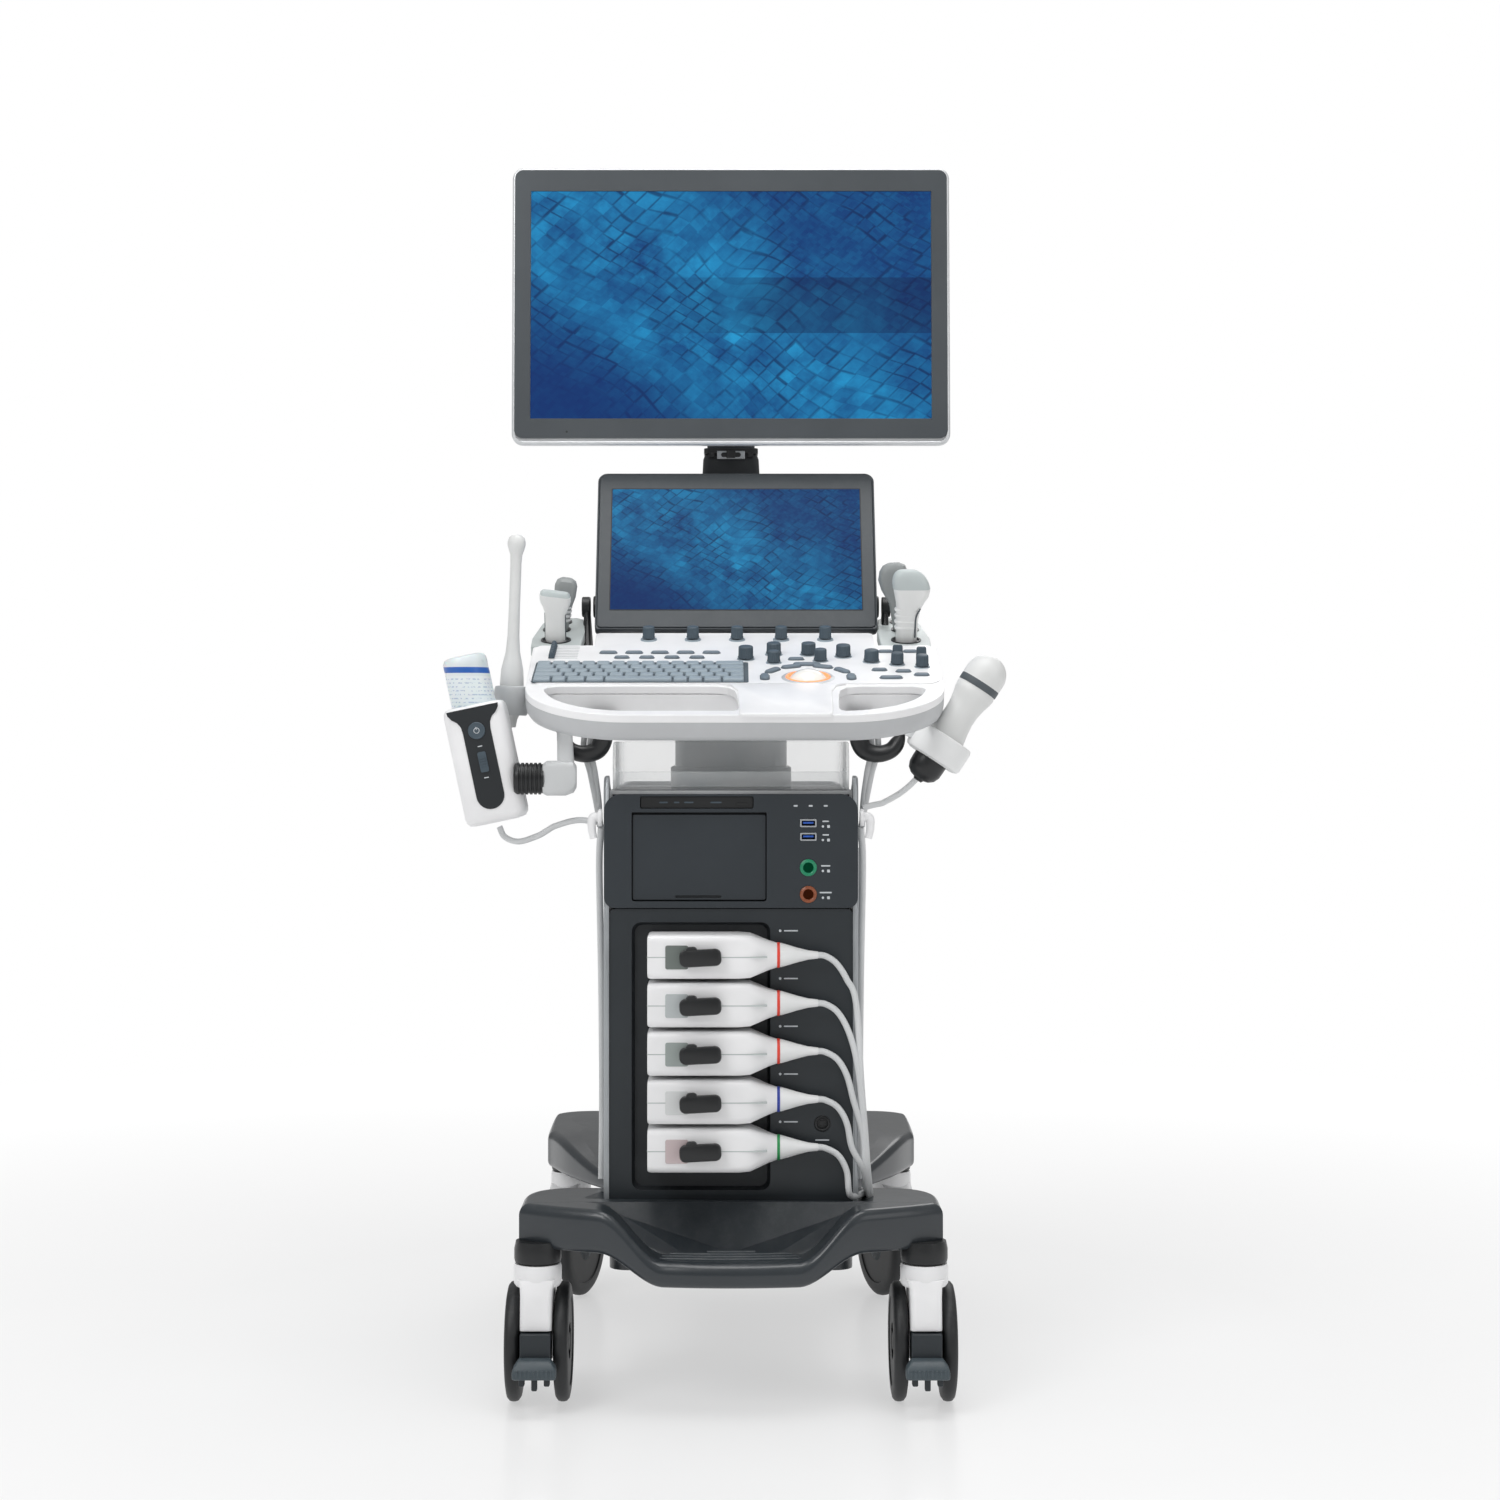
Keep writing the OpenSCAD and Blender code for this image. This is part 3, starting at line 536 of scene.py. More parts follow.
def add_pillow(bm, outline, centre, top, low, r_top, r_low):
    """A slab whose top and bottom follow height functions, with rounded rims."""
    def ring(inset, height):
        out = []
        for x, y in outline:
            d = math.hypot(x - centre[0], y - centre[1])
            k = max(0.0, 1 - inset / d)
            px, py = centre[0] + (x - centre[0]) * k, centre[1] + (y - centre[1]) * k
            out.append(Vector((px, py, height(px, py))))
        return out
    rings = []
    reach = [0.04, 0.12, 0.22, 0.33, 0.45, 0.57, 0.69, 0.81, 0.93]
    span = min(math.hypot(x - centre[0], y - centre[1]) for x, y in outline)
    for k in reversed(reach):
        rings.append(ring(r_low + (span - r_low) * k, low))
    for i in range(5):
        a = math.pi / 2 * i / 4
        rings.append(ring(r_low * (1 - math.sin(a)), lambda x, y, a=a: low(x, y) + r_low * (1 - math.cos(a))))
    for i in range(7):
        a = math.pi / 2 * i / 6
        rings.append(ring(r_top * (1 - math.cos(a)), lambda x, y, a=a: top(x, y) - r_top * (1 - math.sin(a))))
    for k in reach:
        rings.append(ring(r_top + (span - r_top) * k, top))
    add_loft(bm, rings)


def dense(outline, step=6):
    out = []
    for i, (x, y) in enumerate(outline):
        x2, y2 = outline[(i + 1) % len(outline)]
        n = max(1, int(math.hypot(x2 - x, y2 - y) / step))
        out += [(x + (x2 - x) * k / n, y + (y2 - y) * k / n) for k in range(n)]
    return out


def build_base():
    with piece("chassis", "base", BASE, hides=["base_shell"]) as bm:
        front, back = base_low.y, -199
        plan = []
        for x, y in dense(rounded(2 * LOBE_X, back - front, 45, 10, 0, (front + back) / 2)):
            arc = front + FRONT_R - math.sqrt(FRONT_R ** 2 - x * x)
            plan.append((x, max(y, arc)))
        add_pillow(bm, plan, (0, -270), lambda x, y: DIP_TOP + (LOBE_TOP - DIP_TOP) * ease(x),
                   lambda x, y: DIP_LOW + (LOBE_LOW - DIP_LOW) * ease(x), 12, 9)

        def leg_top(x, y):
            return 186 + 26 * smooth_step(y + abs(x) * 0.7, 130, 330)
        for side in SIDES:
            leg = [(side * x, y) for x, y in ((118, 20), (150, 40), (196, 120), (222, 186), (228, 215),
                                              (228, 336), (222, 360), (206, 374), (184, 380), (150, 380),
                                              (118, 372), (112, 340), (112, 60))]
            leg = dense([tuple(p)[:2] for p in spline(leg + [leg[0]], 5)[:-1]], 7)
            add_pillow(bm, leg, (side * 165, 230), leg_top, lambda x, y: LOBE_LOW, 11, 8)
        add_loft(bm, [flat(rounded(260, 610, 20, 6, 0, 40), z) for z in (DIP_LOW, DIP_LOW + 4, 175)])
    with piece("caster_collars", "base", BLACK) as bm:
        for _, x, y, _ in CASTERS:
            add_lathe(bm, [(0.1, 151), (22, 151), (24, 152.5), (24.7, 156), (24.7, 166), (23, 174),
                           (0.1, 174)], turn=shift((x, y, 0)))


def build_mat():
    with piece("footrest_ribs", "base", MAT_RUBBER, hides=["footrest_mat"]) as bm:
        for k in range(7):
            r = FRONT_R - 24 - k * 13
            reach = 74 - k * 1.5
            path = []
            for i in range(-14, 15):
                a = reach / r * i / 14
                x = r * math.sin(a)
                path.append(Vector((x, base_low.y + FRONT_R - r * math.cos(a),
                                    DIP_TOP + (LOBE_TOP - DIP_TOP) * ease(x) + 0.1)))
            add_tube(bm, path, lambda t: 2.2 * (1 - 0.6 * abs(2 * t - 1) ** 6), 10)


def build_caster(tag, place):
    with piece("fork_body_" + tag, "caster_" + tag, WHITE, place, sharp=50, hides=["fork_" + tag]) as bm:
        add_lathe(bm, [(0.1, 127), (23, 127), (25, 130), (25.2, 134), (25.2, 147), (24, 150.4),
                       (0.1, 150.4)], 40)
        add_loft(bm, [flat(rounded(w, y1 - y0, 5, 5, 0, (y0 + y1) / 2), z)
                      for z, w, y0, y1 in ((136, 40, -24, 20), (128, 34, -28, 34), (118, 33, -31, 42),
                                           (100, 33, -34.5, 46), (88, 33, -36, 46), (86, 33, -35, 46),
                                           (85, 33, -10, 46), (74, 33, 0, 46), (62, 33, 6, 45),
                                           (50, 33, 9, 41), (46, 30, 14, 36))])
    with piece("tyres_" + tag, "wheels_" + tag, RUBBER, place, sharp=50, hides=["wheels_" + tag]) as bm:
        for side in SIDES:
            hub = turned("Y", 90 * side, AXLE)
            add_lathe(bm, [(30, 17.6), (52, 17.6), (58, 18.6), (61.6, 21.2), (62.5, 24.5), (62.5, 27),
                           (61.8, 30), (59, 32.4), (54, 33.4), (47, 33.4), (46, 32)], 72, hub)
    with piece("hubs_" + tag, "wheels_" + tag, PEDAL, place, bevel=0.5) as bm:
        for side in SIDES:
            hub = turned("Y", 90 * side, AXLE)
            add_lathe(bm, [(0.1, 17.7), (48, 17.7), (48, 30), (46.4, 31.6), (43, 31.6), (41.5, 28.5),
                           (24, 27.2), (22, 30.6), (19, 32), (9, 32), (8, 30.6), (0.1, 30.6)], 64, hub)
            for k in range(6):
                spoke = hub @ Matrix.Rotation(math.radians(60 * k), 4, "Z")
                add_box(bm, 21, 43, -3.2, 3.2, 26.5, 30.4, spoke)
        add_tube(bm, [Vector((-17.8, 25, 62.5)), Vector((17.8, 25, 62.5))], 6)
    with piece("pedal_pad_" + tag, "pedal_" + tag, PEDAL, place, bevel=0.6, hides=["pedal_" + tag]) as bm:
        add_loft(bm, [flat(rounded(w, -40 - y0, 2.5, 4, 0, (y0 - 40) / 2), z)
                      for z, w, y0 in ((41, 43, -59), (42, 45, -60.5), (48, 45.5, -60.5), (53, 43, -58),
                                       (58, 36, -54), (60, 33, -50))])
        for k in range(-4, 5):
            add_box(bm, k * 4.4 - 1, k * 4.4 + 1, -61, -59, 43, 51)
    with piece("pedal_arm_" + tag, "pedal_" + tag, WELL, place, bevel=1.5) as bm:
        add_box(bm, -16, 16, -41, -14, 52, 84)
        for side in SIDES:
            add_box(bm, side * 13 - 3, side * 13 + 3, -54, -44, 33, 42)
        add_box(bm, -3, 3, -53, -45, 28, 42)


def build_casters():
    for tag, x, y, turn in CASTERS:
        build_caster(tag, shift(Vector((x, y, 0)) * MM) @ turned("Z", turn))


# ---------------------------------------------------------------- cabinet

CAB_FRONT, SKIN = -255, 8
SPLIT_Z, CAB_TOP = 520, 645
CONNECTOR_Z = [471 - 51 * k for k in range(5)]
SIDE_CABLE_X = 143.5
PORT_X, USB_Z, ROUND_PORT_Z = 82.5, (610.5, 596), (563, 534.5)
PEN_PORT = (97.5, 289.5)
RECESS_RIM = (148, 286, 10, 6, -32, 361.5)


def build_sides():
    for side, tag in zip(SIDES, ("left", "right")):
        with piece("side_panel_" + tag, "base", EDGE, hides=["side_panels"]) as bm:
            edge = [(-257, 164), (252, 164), (252, 632), (240, 642), (-180, 642), (-206, 645), (-226, 652),
                    (-238, 659), (-247, 661), (-254, 658), (-258, 650)]
            add_loft(bm, [[Vector((side * out, y + inset * (1 if y < 0 else -1),
                                   z + inset * (1 if z < 300 else -1))) for y, z in edge]
                          for inset, out in ((0, 130.2), (0, 133.4), (1, 135), (2.6, 135.9), (7, 136.2))])
        # Painted shadow: the vent slots are flat dark plates on the panel, standing for the shade inside the
        # openings.
        with piece("side_vent_shadows_" + tag, "base", RECESS) as bm:
            for k in range(7):
                add_plate(bm, stadium(110, 4, 6, 150, 300 + k * 11), [], sideways, side * 136, side * 136.8)


FASCIA_FRONT = CAB_FRONT - 3.5


def build_fascias():
    with piece("fascia_upper", "base", FASCIA, bevel=2.2, hides=["upper_fascia"]) as bm:
        outer = rounded(271, 121.5, [18, 18, 11, 11], 8, 0, (SPLIT_Z + 641.5) / 2)
        holes = [rounded(144, 95, [1, 1, 3, 3], 3, -34, 574.5), rounded(121, 13, 2, 3, -36.5, 632.5)]
        holes += [rounded(16.2, 7.2, 1, 2, PORT_X, z) for z in USB_Z]
        holes += [circle(9.2, 28, PORT_X, z) for z in ROUND_PORT_Z]
        add_plate(bm, outer, holes, upright, FASCIA_FRONT, CAB_FRONT + SKIN)
    with piece("fascia_lower", "base", FASCIA_LOW, bevel=2.0, hides=["lower_fascia"]) as bm:
        outer = rounded(261, 318, [7, 7, 4, 4], 5, 0, (201 + 519) / 2)
        holes = [rounded(*RECESS_RIM), circle(8.7, 28, *PEN_PORT)]
        add_plate(bm, outer, holes, upright, CAB_FRONT, CAB_FRONT + SKIN)
    with piece("connector_recess", "base", RECESS) as bm:
        rim = rounded(*RECESS_RIM)
        floor = rounded(138, 276, 8, 6, -32, 361.5)
        add_loft(bm, [upright(rim, CAB_FRONT + 1), upright(floor, -241), upright(floor, -238)], cap=False)
        bm.faces.new([bm.verts.new(p) for p in upright(floor, -240)])
    with piece("toe_panel", "base", FASCIA_LOW) as bm:
        add_plate(bm, rounded(258, 38, 2, 3, 0, 183), [], upright, -251, -246)
    with piece("connector_sockets", "base", BLACK, bevel=1) as bm:
        for z in CONNECTOR_Z:
            add_box(bm, -94, 24, -240, -238.5, z - 24, z + 24)
    with piece("fascia_backing", "base", RECESS) as bm:
        add_plate(bm, rounded(250, 470, 10, 4, 0, 405), [], upright, -246, -244)


def build_fittings():
    with piece("usb_shells", "base", METAL, bevel=0.25, hides=["io_ports"]) as bm:
        for z in USB_Z:
            add_plate(bm, rounded(17.6, 8.6, 1.2, 3, PORT_X, z), [rounded(14.4, 5.4, 0.6, 2, PORT_X, z)],
                      upright, FASCIA_FRONT - 0.8, -249)
    with piece("usb_tongues", "base", USB_BLUE) as bm:
        for z in USB_Z:
            add_box(bm, 77, 88, FASCIA_FRONT + 1, -248, z - 0.6, z + 1.2)
    for z, mat, tag in zip(ROUND_PORT_Z, (PORT_GREEN, PORT_BROWN), "ab"):
        with piece("port_ring_" + tag, "base", mat) as bm:
            at = shift((PORT_X, FASCIA_FRONT, z)) @ TO_Y
            add_lathe(bm, [(5.6, -5), (5.6, 0.6), (6.4, 1.4), (7.4, 1.6), (8.9, 0.8), (9.1, 0), (9.1, -5)],
                      40, at)
    with piece("port_cores", "base", BLACK) as bm:
        for x, z in [(PORT_X, z) for z in ROUND_PORT_Z] + [PEN_PORT]:
            at = shift((x, CAB_FRONT, z)) @ TO_Y
            add_lathe(bm, [(0.1, -3), (5.5, -3), (5.5, -6), (0.1, -6)], 28, at)
            for k in range(6):
                pin = at @ Matrix.Rotation(math.radians(60 * k), 4, "Z") @ shift((3, 0, -2.8))
                add_lathe(bm, [(0.05, 0), (0.6, 0), (0.5, 1.2), (0.05, 1.4)], 8, pin)
        at = shift((PEN_PORT[0], CAB_FRONT, PEN_PORT[1])) @ TO_Y
        add_lathe(bm, [(5.4, -5), (5.4, 0.8), (6.2, 1.6), (7.2, 1.6), (8.5, 0.6), (8.5, -5)], 40, at)
    with piece("status_marks", "base", MARK) as bm:
        def mark(outline, face=FASCIA_FRONT):
            add_plate(bm, outline, [], upright, face - 0.3, face + 1)
        for x in (69, 85, 101):
            mark(stadium(4.4, 1.8, 4, x, 629))
        for z, w in zip(USB_Z + ROUND_PORT_Z, (7, 7, 10, 13)):
            mark(stadium(w, 1.5, 4, 101, z + 2))
            mark(circle(1.3, 14, 98, z - 3.5))
            mark(rounded(3, 3, 0.4, 2, 104, z - 3.5))
        for z in CONNECTOR_Z:
            mark(stadium(15, 1.4, 4, 64, z + 24.5), CAB_FRONT)
            mark(circle(1.4, 14, 52.5, z + 24.5), CAB_FRONT)
        mark(stadium(15, 1.4, 4, PEN_PORT[0], 272), CAB_FRONT)


def build_door():
    with piece("door_leaf", "bay_door", FASCIA, bevel=0.8, hides=["bay_door"]) as bm:
        add_plate(bm, rounded(142, 91, 2, 3, -34, 574), [stadium(49, 2.6, 5, -35, 532)], upright, -255, -251)
    with piece("door_finger_slot", "bay_door", RECESS) as bm:
        add_box(bm, -60, -10, -252.6, -250.8, 529, 535)
    with piece("bay_liner", "base", RECESS) as bm:
        add_loft(bm, [[Vector((-34 + x, y, 574 + z)) for x, z in rounded(w, h, 3, 3)] for y, w, h in
                      ((-246, 142, 92), (-180, 136, 88), (-180, 120, 70), (-200, 118, 68))], cap=False)
        bm.faces.new([bm.verts.new((-34 + x, -199, 574 + z)) for x, z in rounded(118, 68, 3, 3)])
    with piece("disc_drive_front", "disc_tray", BLACK, bevel=0.6, hides=["disc_tray"]) as bm:
        add_plate(bm, rounded(119.6, 11.8, 1.6, 3, -36.5, 632.5), [], upright, -255, -250)
        add_plate(bm, rounded(13, 3, 1, 3, 12, 630.6), [], upright, -256.2, -254)
        add_box(bm, -90, 18, -250, -130, 628, 636)
    with piece("disc_drive_marks", "disc_tray", KNOB) as bm:
        for x, w in ((-72, 9), (-58, 6), (-45, 10), (-16, 12)):
            add_plate(bm, stadium(w, 1.6, 4, x, 632.5), [], upright, -255.25, -254.6)


FAN_AT = (0, 208, 430)


def build_rear():
    with piece("rear_cover", "base", FASCIA, bevel=1, hides=["rear_panel"]) as bm:
        slots = [stadium(124, 6, 5, 0, 383 + k * 12) for k in range(9)]
        add_plate(bm, rounded(256, 474, 8, 5, 0, 404), slots + [rounded(46, 31, 2, 3, -82, 205)], upright,
                  247, 252)
    with piece("rear_sockets", "base", BLACK, bevel=0.5) as bm:
        add_plate(bm, rounded(52, 37, 3, 3, -82, 205),
                  [rounded(24, 17, 2, 3, -88, 205), rounded(10, 20, 1, 2, -66, 205)], upright, 250, 254)
        add_box(bm, -106, -60, 236, 250, 188, 222)
        for k in range(4):
            add_plate(bm, rounded(16, 9, 1, 2, 30 + k * 24, 205),
                      [rounded(12, 5, 0.5, 2, 30 + k * 24, 205)], upright, 249, 253.4)
    with piece("rear_handle", "base", BLACK) as bm:
        path = spline([(-92, 252, 560), (-92, 282, 562), (-84, 296, 564), (0, 298, 565), (84, 296, 564),
                       (92, 282, 562), (92, 252, 560)], 8)
        add_tube(bm, path, 9, 16)
    with piece("mains_cable_hooks", "base", BLACK) as bm:
        for x in (-60, 60):
            path = spline([(x, 250, 290), (x, 272, 288), (x, 282, 296), (x, 282, 318)], 6)
            add_tube(bm, path, 5, 12)
    with piece("fan_blades", "fan", BLACK, bevel=0.3, hides=["fan_rotor"]) as bm:
        add_lathe(bm, [(3.1, 0), (18, 0), (19, 1), (19, 23), (18, 24), (3.1, 24)], 36,
                  turned("X", -90, FAN_AT))
        for k in range(7):
            blade = turned("X", -90, FAN_AT) @ turned("Z", 360 / 7 * k) @ turned("X", 25, (17, 0, 11))
            add_box(bm, 0, 36, -9, 9, -1, 1, blade)


def build_connectors():
    white, rubber, tips = bmesh.new(), bmesh.new(), bmesh.new()
    rings = (RED, RED, RED, BLUE, GREEN)
    for k, z in enumerate(CONNECTOR_Z):
        at = shift((0, -271, z))
        rows = []
        shape = ((-88, 58, 42, 6), (-87, 60, 45, 7), (-84, 60, 46.6, 8), (8, 60, 46.6, 8), (20, 59, 45, 9),
                 (30, 50, 38, 11), (40, 38, 31, 13), (47.5, 28, 27, 13.3), (49, 26.6, 26.6, 13.2))
        for x, w, h, r in shape:
            rows.append([at @ Vector((x, p, q)) for p, q in rounded(w, h, r, 6)])
        add_loft(white, rows)
        add_loft(tips,
                 [[at @ Vector((x, r * math.cos(a), r * math.sin(a)))
                   for a in (2 * math.pi * i / 28 for i in range(28))]
                  for x, r in ((51.5, 12.8), (53, 13), (60, 11), (70, 8), (82, 5), (92, 3.9), (93, 3.2))])
        add_box(rubber, -88.3, 38, -301.2, -241, z - 0.5, z + 0.5)
        with piece("connector_ring_%d" % (k + 1), "base", rings[k]) as ring:
            add_lathe(ring, [(12, 48.8), (13.5, 48.8), (13.7, 50), (13.5, 51.8), (12, 51.8)], 36, at @ TO_X)
        with piece("connector_plate_%d" % (k + 1), "base", PLATES[k], bevel=0.4) as plate:
            add_plate(plate, rounded(24, 25, 2, 3, -57, z), [], upright, -302, -300)
        with piece("lever_handle_%d" % (k + 1), "lever_%d" % (k + 1), BLACK,
                   hides=["lever_%d" % (k + 1)]) as lever:
            turn = shift((-33, -301, z)) @ turned("Y", -3) @ TO_Y
            add_lathe(lever, [(0.1, 0), (8, 0), (8.4, 1), (8.4, 4), (0.1, 4)], 36, turn)
            add_loft(lever,
                     [[turn @ Vector((x + 1, y, depth))
                       for x, y in rounded(44 + 2 * grow, 18 + 2 * grow, 6.5 + grow, 7)]
                      for depth, grow in ((3, -2), (4.2, -0.4), (6, 0), (11, 0), (12.6, -0.9), (13.4, -3))])
            add_loft(lever, [[turn @ Vector((x - 8, y + 7, depth))
                              for x, y in rounded(12 + grow, 10 + grow, 4 + grow / 2, 5)]
                             for depth, grow in ((4, 0), (10.5, 0), (12, -2))])
    finish_mesh("connector_shells", white, "base", WHITE, hides=["connector_bodies"])
    finish_mesh("connector_reliefs", tips, "base", WHITE_SOFT)
    finish_mesh("connector_seams", rubber, "base", HOLDER)


def build_cart_cables():
    """The five connector cables sweep down past the right front lobe and back along the cabinet side."""
    with piece("connector_cables", "base", CABLE, hides=["cables_lower"]) as bm:
        y = -271
        for k, z in enumerate(CONNECTOR_Z):
            out = 137 - 1.5 * k
            points = [(90, y, z), (100, y, z - 1), (112 + k * 0.5, y + 1, z - 9), (123, y + 2, z - 26),
                      (out - 4, y + 3, z - 52)]
            low = [p for p in ((out + 2, y + 5, 330), (out + 6, y + 8, 280), (out + 9, y + 12, 240))
                   if p[2] < z - 70]
            points += low + [(150 - k, y + 30 + 5 * k, 206 + k), (150, -205 + 8 * k, 194),
                             (147, -150 + 6 * k, 222), (SIDE_CABLE_X, -110 + 12 * k, 300),
                             (SIDE_CABLE_X, -110 + 14 * k, 480), (SIDE_CABLE_X, -120 + 12 * k, 575)]
            add_tube(bm, spline(points, 8), 3.4, 12)
    with piece("probe_cables_cart", "base", CABLE) as bm:
        for side in SIDES:
            for dy in (-8, 6):
                path = spline([(side * 140, -226 + dy, 606), (side * SIDE_CABLE_X, -196 + dy, 560),
                               (side * SIDE_CABLE_X, -150 + dy, 430), (side * SIDE_CABLE_X, -130 + dy, 300),
                               (side * SIDE_CABLE_X, -150 + dy, 214)], 10)
                add_tube(bm, path, 3.4, 12)
    with piece("cart_cable_hooks", "base", WHITE) as bm:
        for side in SIDES:
            path = spline([(side * 138, -246, 616), (side * 148, -247, 616), (side * 149, -248, 604),
                           (side * 147, -249, 594)], 6)
            add_tube(bm, path, lambda t: 5.5 - 1.5 * t, 12)
            add_lathe(bm, [(0.1, 0), (9, 0), (9.5, 1), (9.5, 3), (8, 4.5), (0.1, 4.5)], 28,
                      turned("Y", 90 * side, (side * 138, -246, 616)))
    with piece("cabinet_edge_trim", "base", EDGE, bevel=1.6) as bm:
        for side in SIDES:
            add_box(bm, side * 133.2 - 2.7, side * 133.2 + 2.7, -257.6, -250, 165, 521)


TRAY_W, TRAY_D, TRAY_Y = 256, 112, -174


def build_tray():
    """Clear open tray: a low front lip rising to the side and rear walls."""
    bm = bmesh.new()
    outer = dense(rounded(TRAY_W, TRAY_D, 14, 8, 0, TRAY_Y), 8)
    inner = [(x * (TRAY_W - 6) / TRAY_W, TRAY_Y + (y - TRAY_Y) * (TRAY_D - 6) / TRAY_D) for x, y in outer]

    def top(y):
        return CAB_TOP + 20 + 32 * smooth_step(y, -226, -206)
    rings = [[Vector((x, y, CAB_TOP + 0.5)) for x, y in outer],
             [Vector((x, y, top(y) - 1)) for x, y in outer],
             [Vector((x * 0.996, TRAY_Y + (y - TRAY_Y) * 0.99, top(y))) for x, y in outer],
             [Vector((x, y, top(y) - 0.6)) for x, y in inner],
             [Vector((x, y, CAB_TOP + 3.5)) for x, y in inner]]
    add_loft(bm, rings)
    finish_mesh("tray_shell", bm, "base", ACRYLIC, hides=["tray_clear"])


def build_column():
    with piece("column_sleeve", "base", COLUMN, bevel=1, hides=["column_outer"]) as bm:
        add_loft(bm, [flat(rounded(136, 152, 17, 8, 0, -35), z) for z in (645.5, 668)])
    with piece("column_ram", "column", COLUMN, bevel=1.2, hides=["column_inner"]) as bm:
        add_loft(bm, [flat(rounded(126, 142, 16, 8, 0, -35), z) for z in (430, 700)])
    with piece("cabinet_top_cover", "base", FASCIA, bevel=1.5) as bm:
        add_loft(bm, [flat(rounded(254, 492, 6, 4), z) for z in (638, 645)])


# ---------------------------------------------------------------- console

DECK_X, DECK_DX = 225, CONSOLE_DX - 2
BALL_AT = (83.8, 150.6)
BALL_HOLE = circle(27, 48, *BALL_AT)


def deck_outline(inset=0.0, back=292, strip=0.0):
    """Outline of the console deck in the panel frame: quarter ellipses at the front corners."""
    a, b = DECK_X - 110 - inset, 115 - inset
    out = []
    for i in range(25):
        t = math.pi / 2 * i / 24
        out.append((110 + a * math.sin(t), 119 - b * math.cos(t)))
    out += [(DECK_X + 2 - inset, 200), (DECK_X + 4 - inset, back - 6), (DECK_X - 2 - inset, back)]
    if strip:
        out += [(165, back), (160, back + 6), (160, strip - 4), (156, strip)]
    out += [(-x, y) for x, y in reversed(out)]
    return [(x + DECK_DX, y) for x, y in out]


def opening(side, inner):
    """Hand opening behind the front rim, which it follows up to x = inner from the middle line."""
    curve = []
    for i in range(25):
        t = math.pi / 2 * i / 24
        curve.append((110 + 95 * math.sin(t), 119 - 98 * math.cos(t)))
    curve = [(x, y) for x, y in curve if y < 100 and x > inner + 8]
    ends = [(curve[-1][0] + 1, 106), (curve[-1][0] - 2, 114), (curve[-1][0] - 12, 119)]
    near = [(inner + 26, 119), (inner + 12, 114), (inner + 5, 102), (inner + 3, 84), (inner + 1, 34),
            (inner + 3, 24), (inner + 7, 21)]
    ring = curve + ends + near
    return [(side * x + DECK_DX, y) for x, y in ring]


def build_deck():
    holes = [opening(-1, -5), opening(1, 108), BALL_HOLE]
    with piece("deck_top", "console", WHITE, PANEL, bevel=3, segments=4, sharp=30,
               hides=["console_top"]) as bm:
        add_plate(bm, deck_outline(0, strip=356), holes, flat, -9, 0)
    # Painted shade: the band is white plastic, coloured grey for the shade that falls on its front face.
    with piece("deck_band", "console", BAND_PAINTED_SHADE, PANEL, sharp=60) as bm:
        section = ((0, -8.5), (0.1, -17), (1.2, -24), (4, -28.5), (8, -30), (15, -30), (15, -9), (6, -8.5),
                   (0, -8.5))
        add_loft(bm, [flat(deck_outline(inset), w) for inset, w in section], cap=False)
        bmesh.ops.remove_doubles(bm, verts=bm.verts, dist=0.01)
    with piece("opening_walls", "console", WHITE, PANEL) as bm:
        for x0, x1 in ((-208, 8), (106, 214)):
            rows = [[Vector((x, s, w)) for x in (x0, x1) for s in ((118, 123) if x == x0 else (123, 118))]
                    for w in (-40, -22, -9.5)]
            add_loft(bm, rows)
    with piece("palm_rest", "console", WHITE, PANEL, sharp=50) as bm:
        pad = [(9, 3), (12, 1.2), (102, 1.2), (105, 3), (106, 16), (108, 96), (114, 116), (124, 123),
               (-10, 123), (0, 116), (7, 96), (8.5, 16)]
        pad = dense(pad, 8)
        add_loft(bm, [[Vector((57 + (x - 57) * (1 - g / 60), 62 + (s - 62) * (1 - g / 62), w))
                       for x, s in pad] for w, g in ((-1.5, 0), (1.0, 0), (1.8, 0.6), (2.1, 2))])
    with piece("panel_skin", "console", WHITE, PANEL, bevel=0.8) as bm:
        add_plate(bm, rounded(446, 166, [6, 6, 20, 20], 5, DECK_DX, 209), [BALL_HOLE], flat, 0, 1.1)


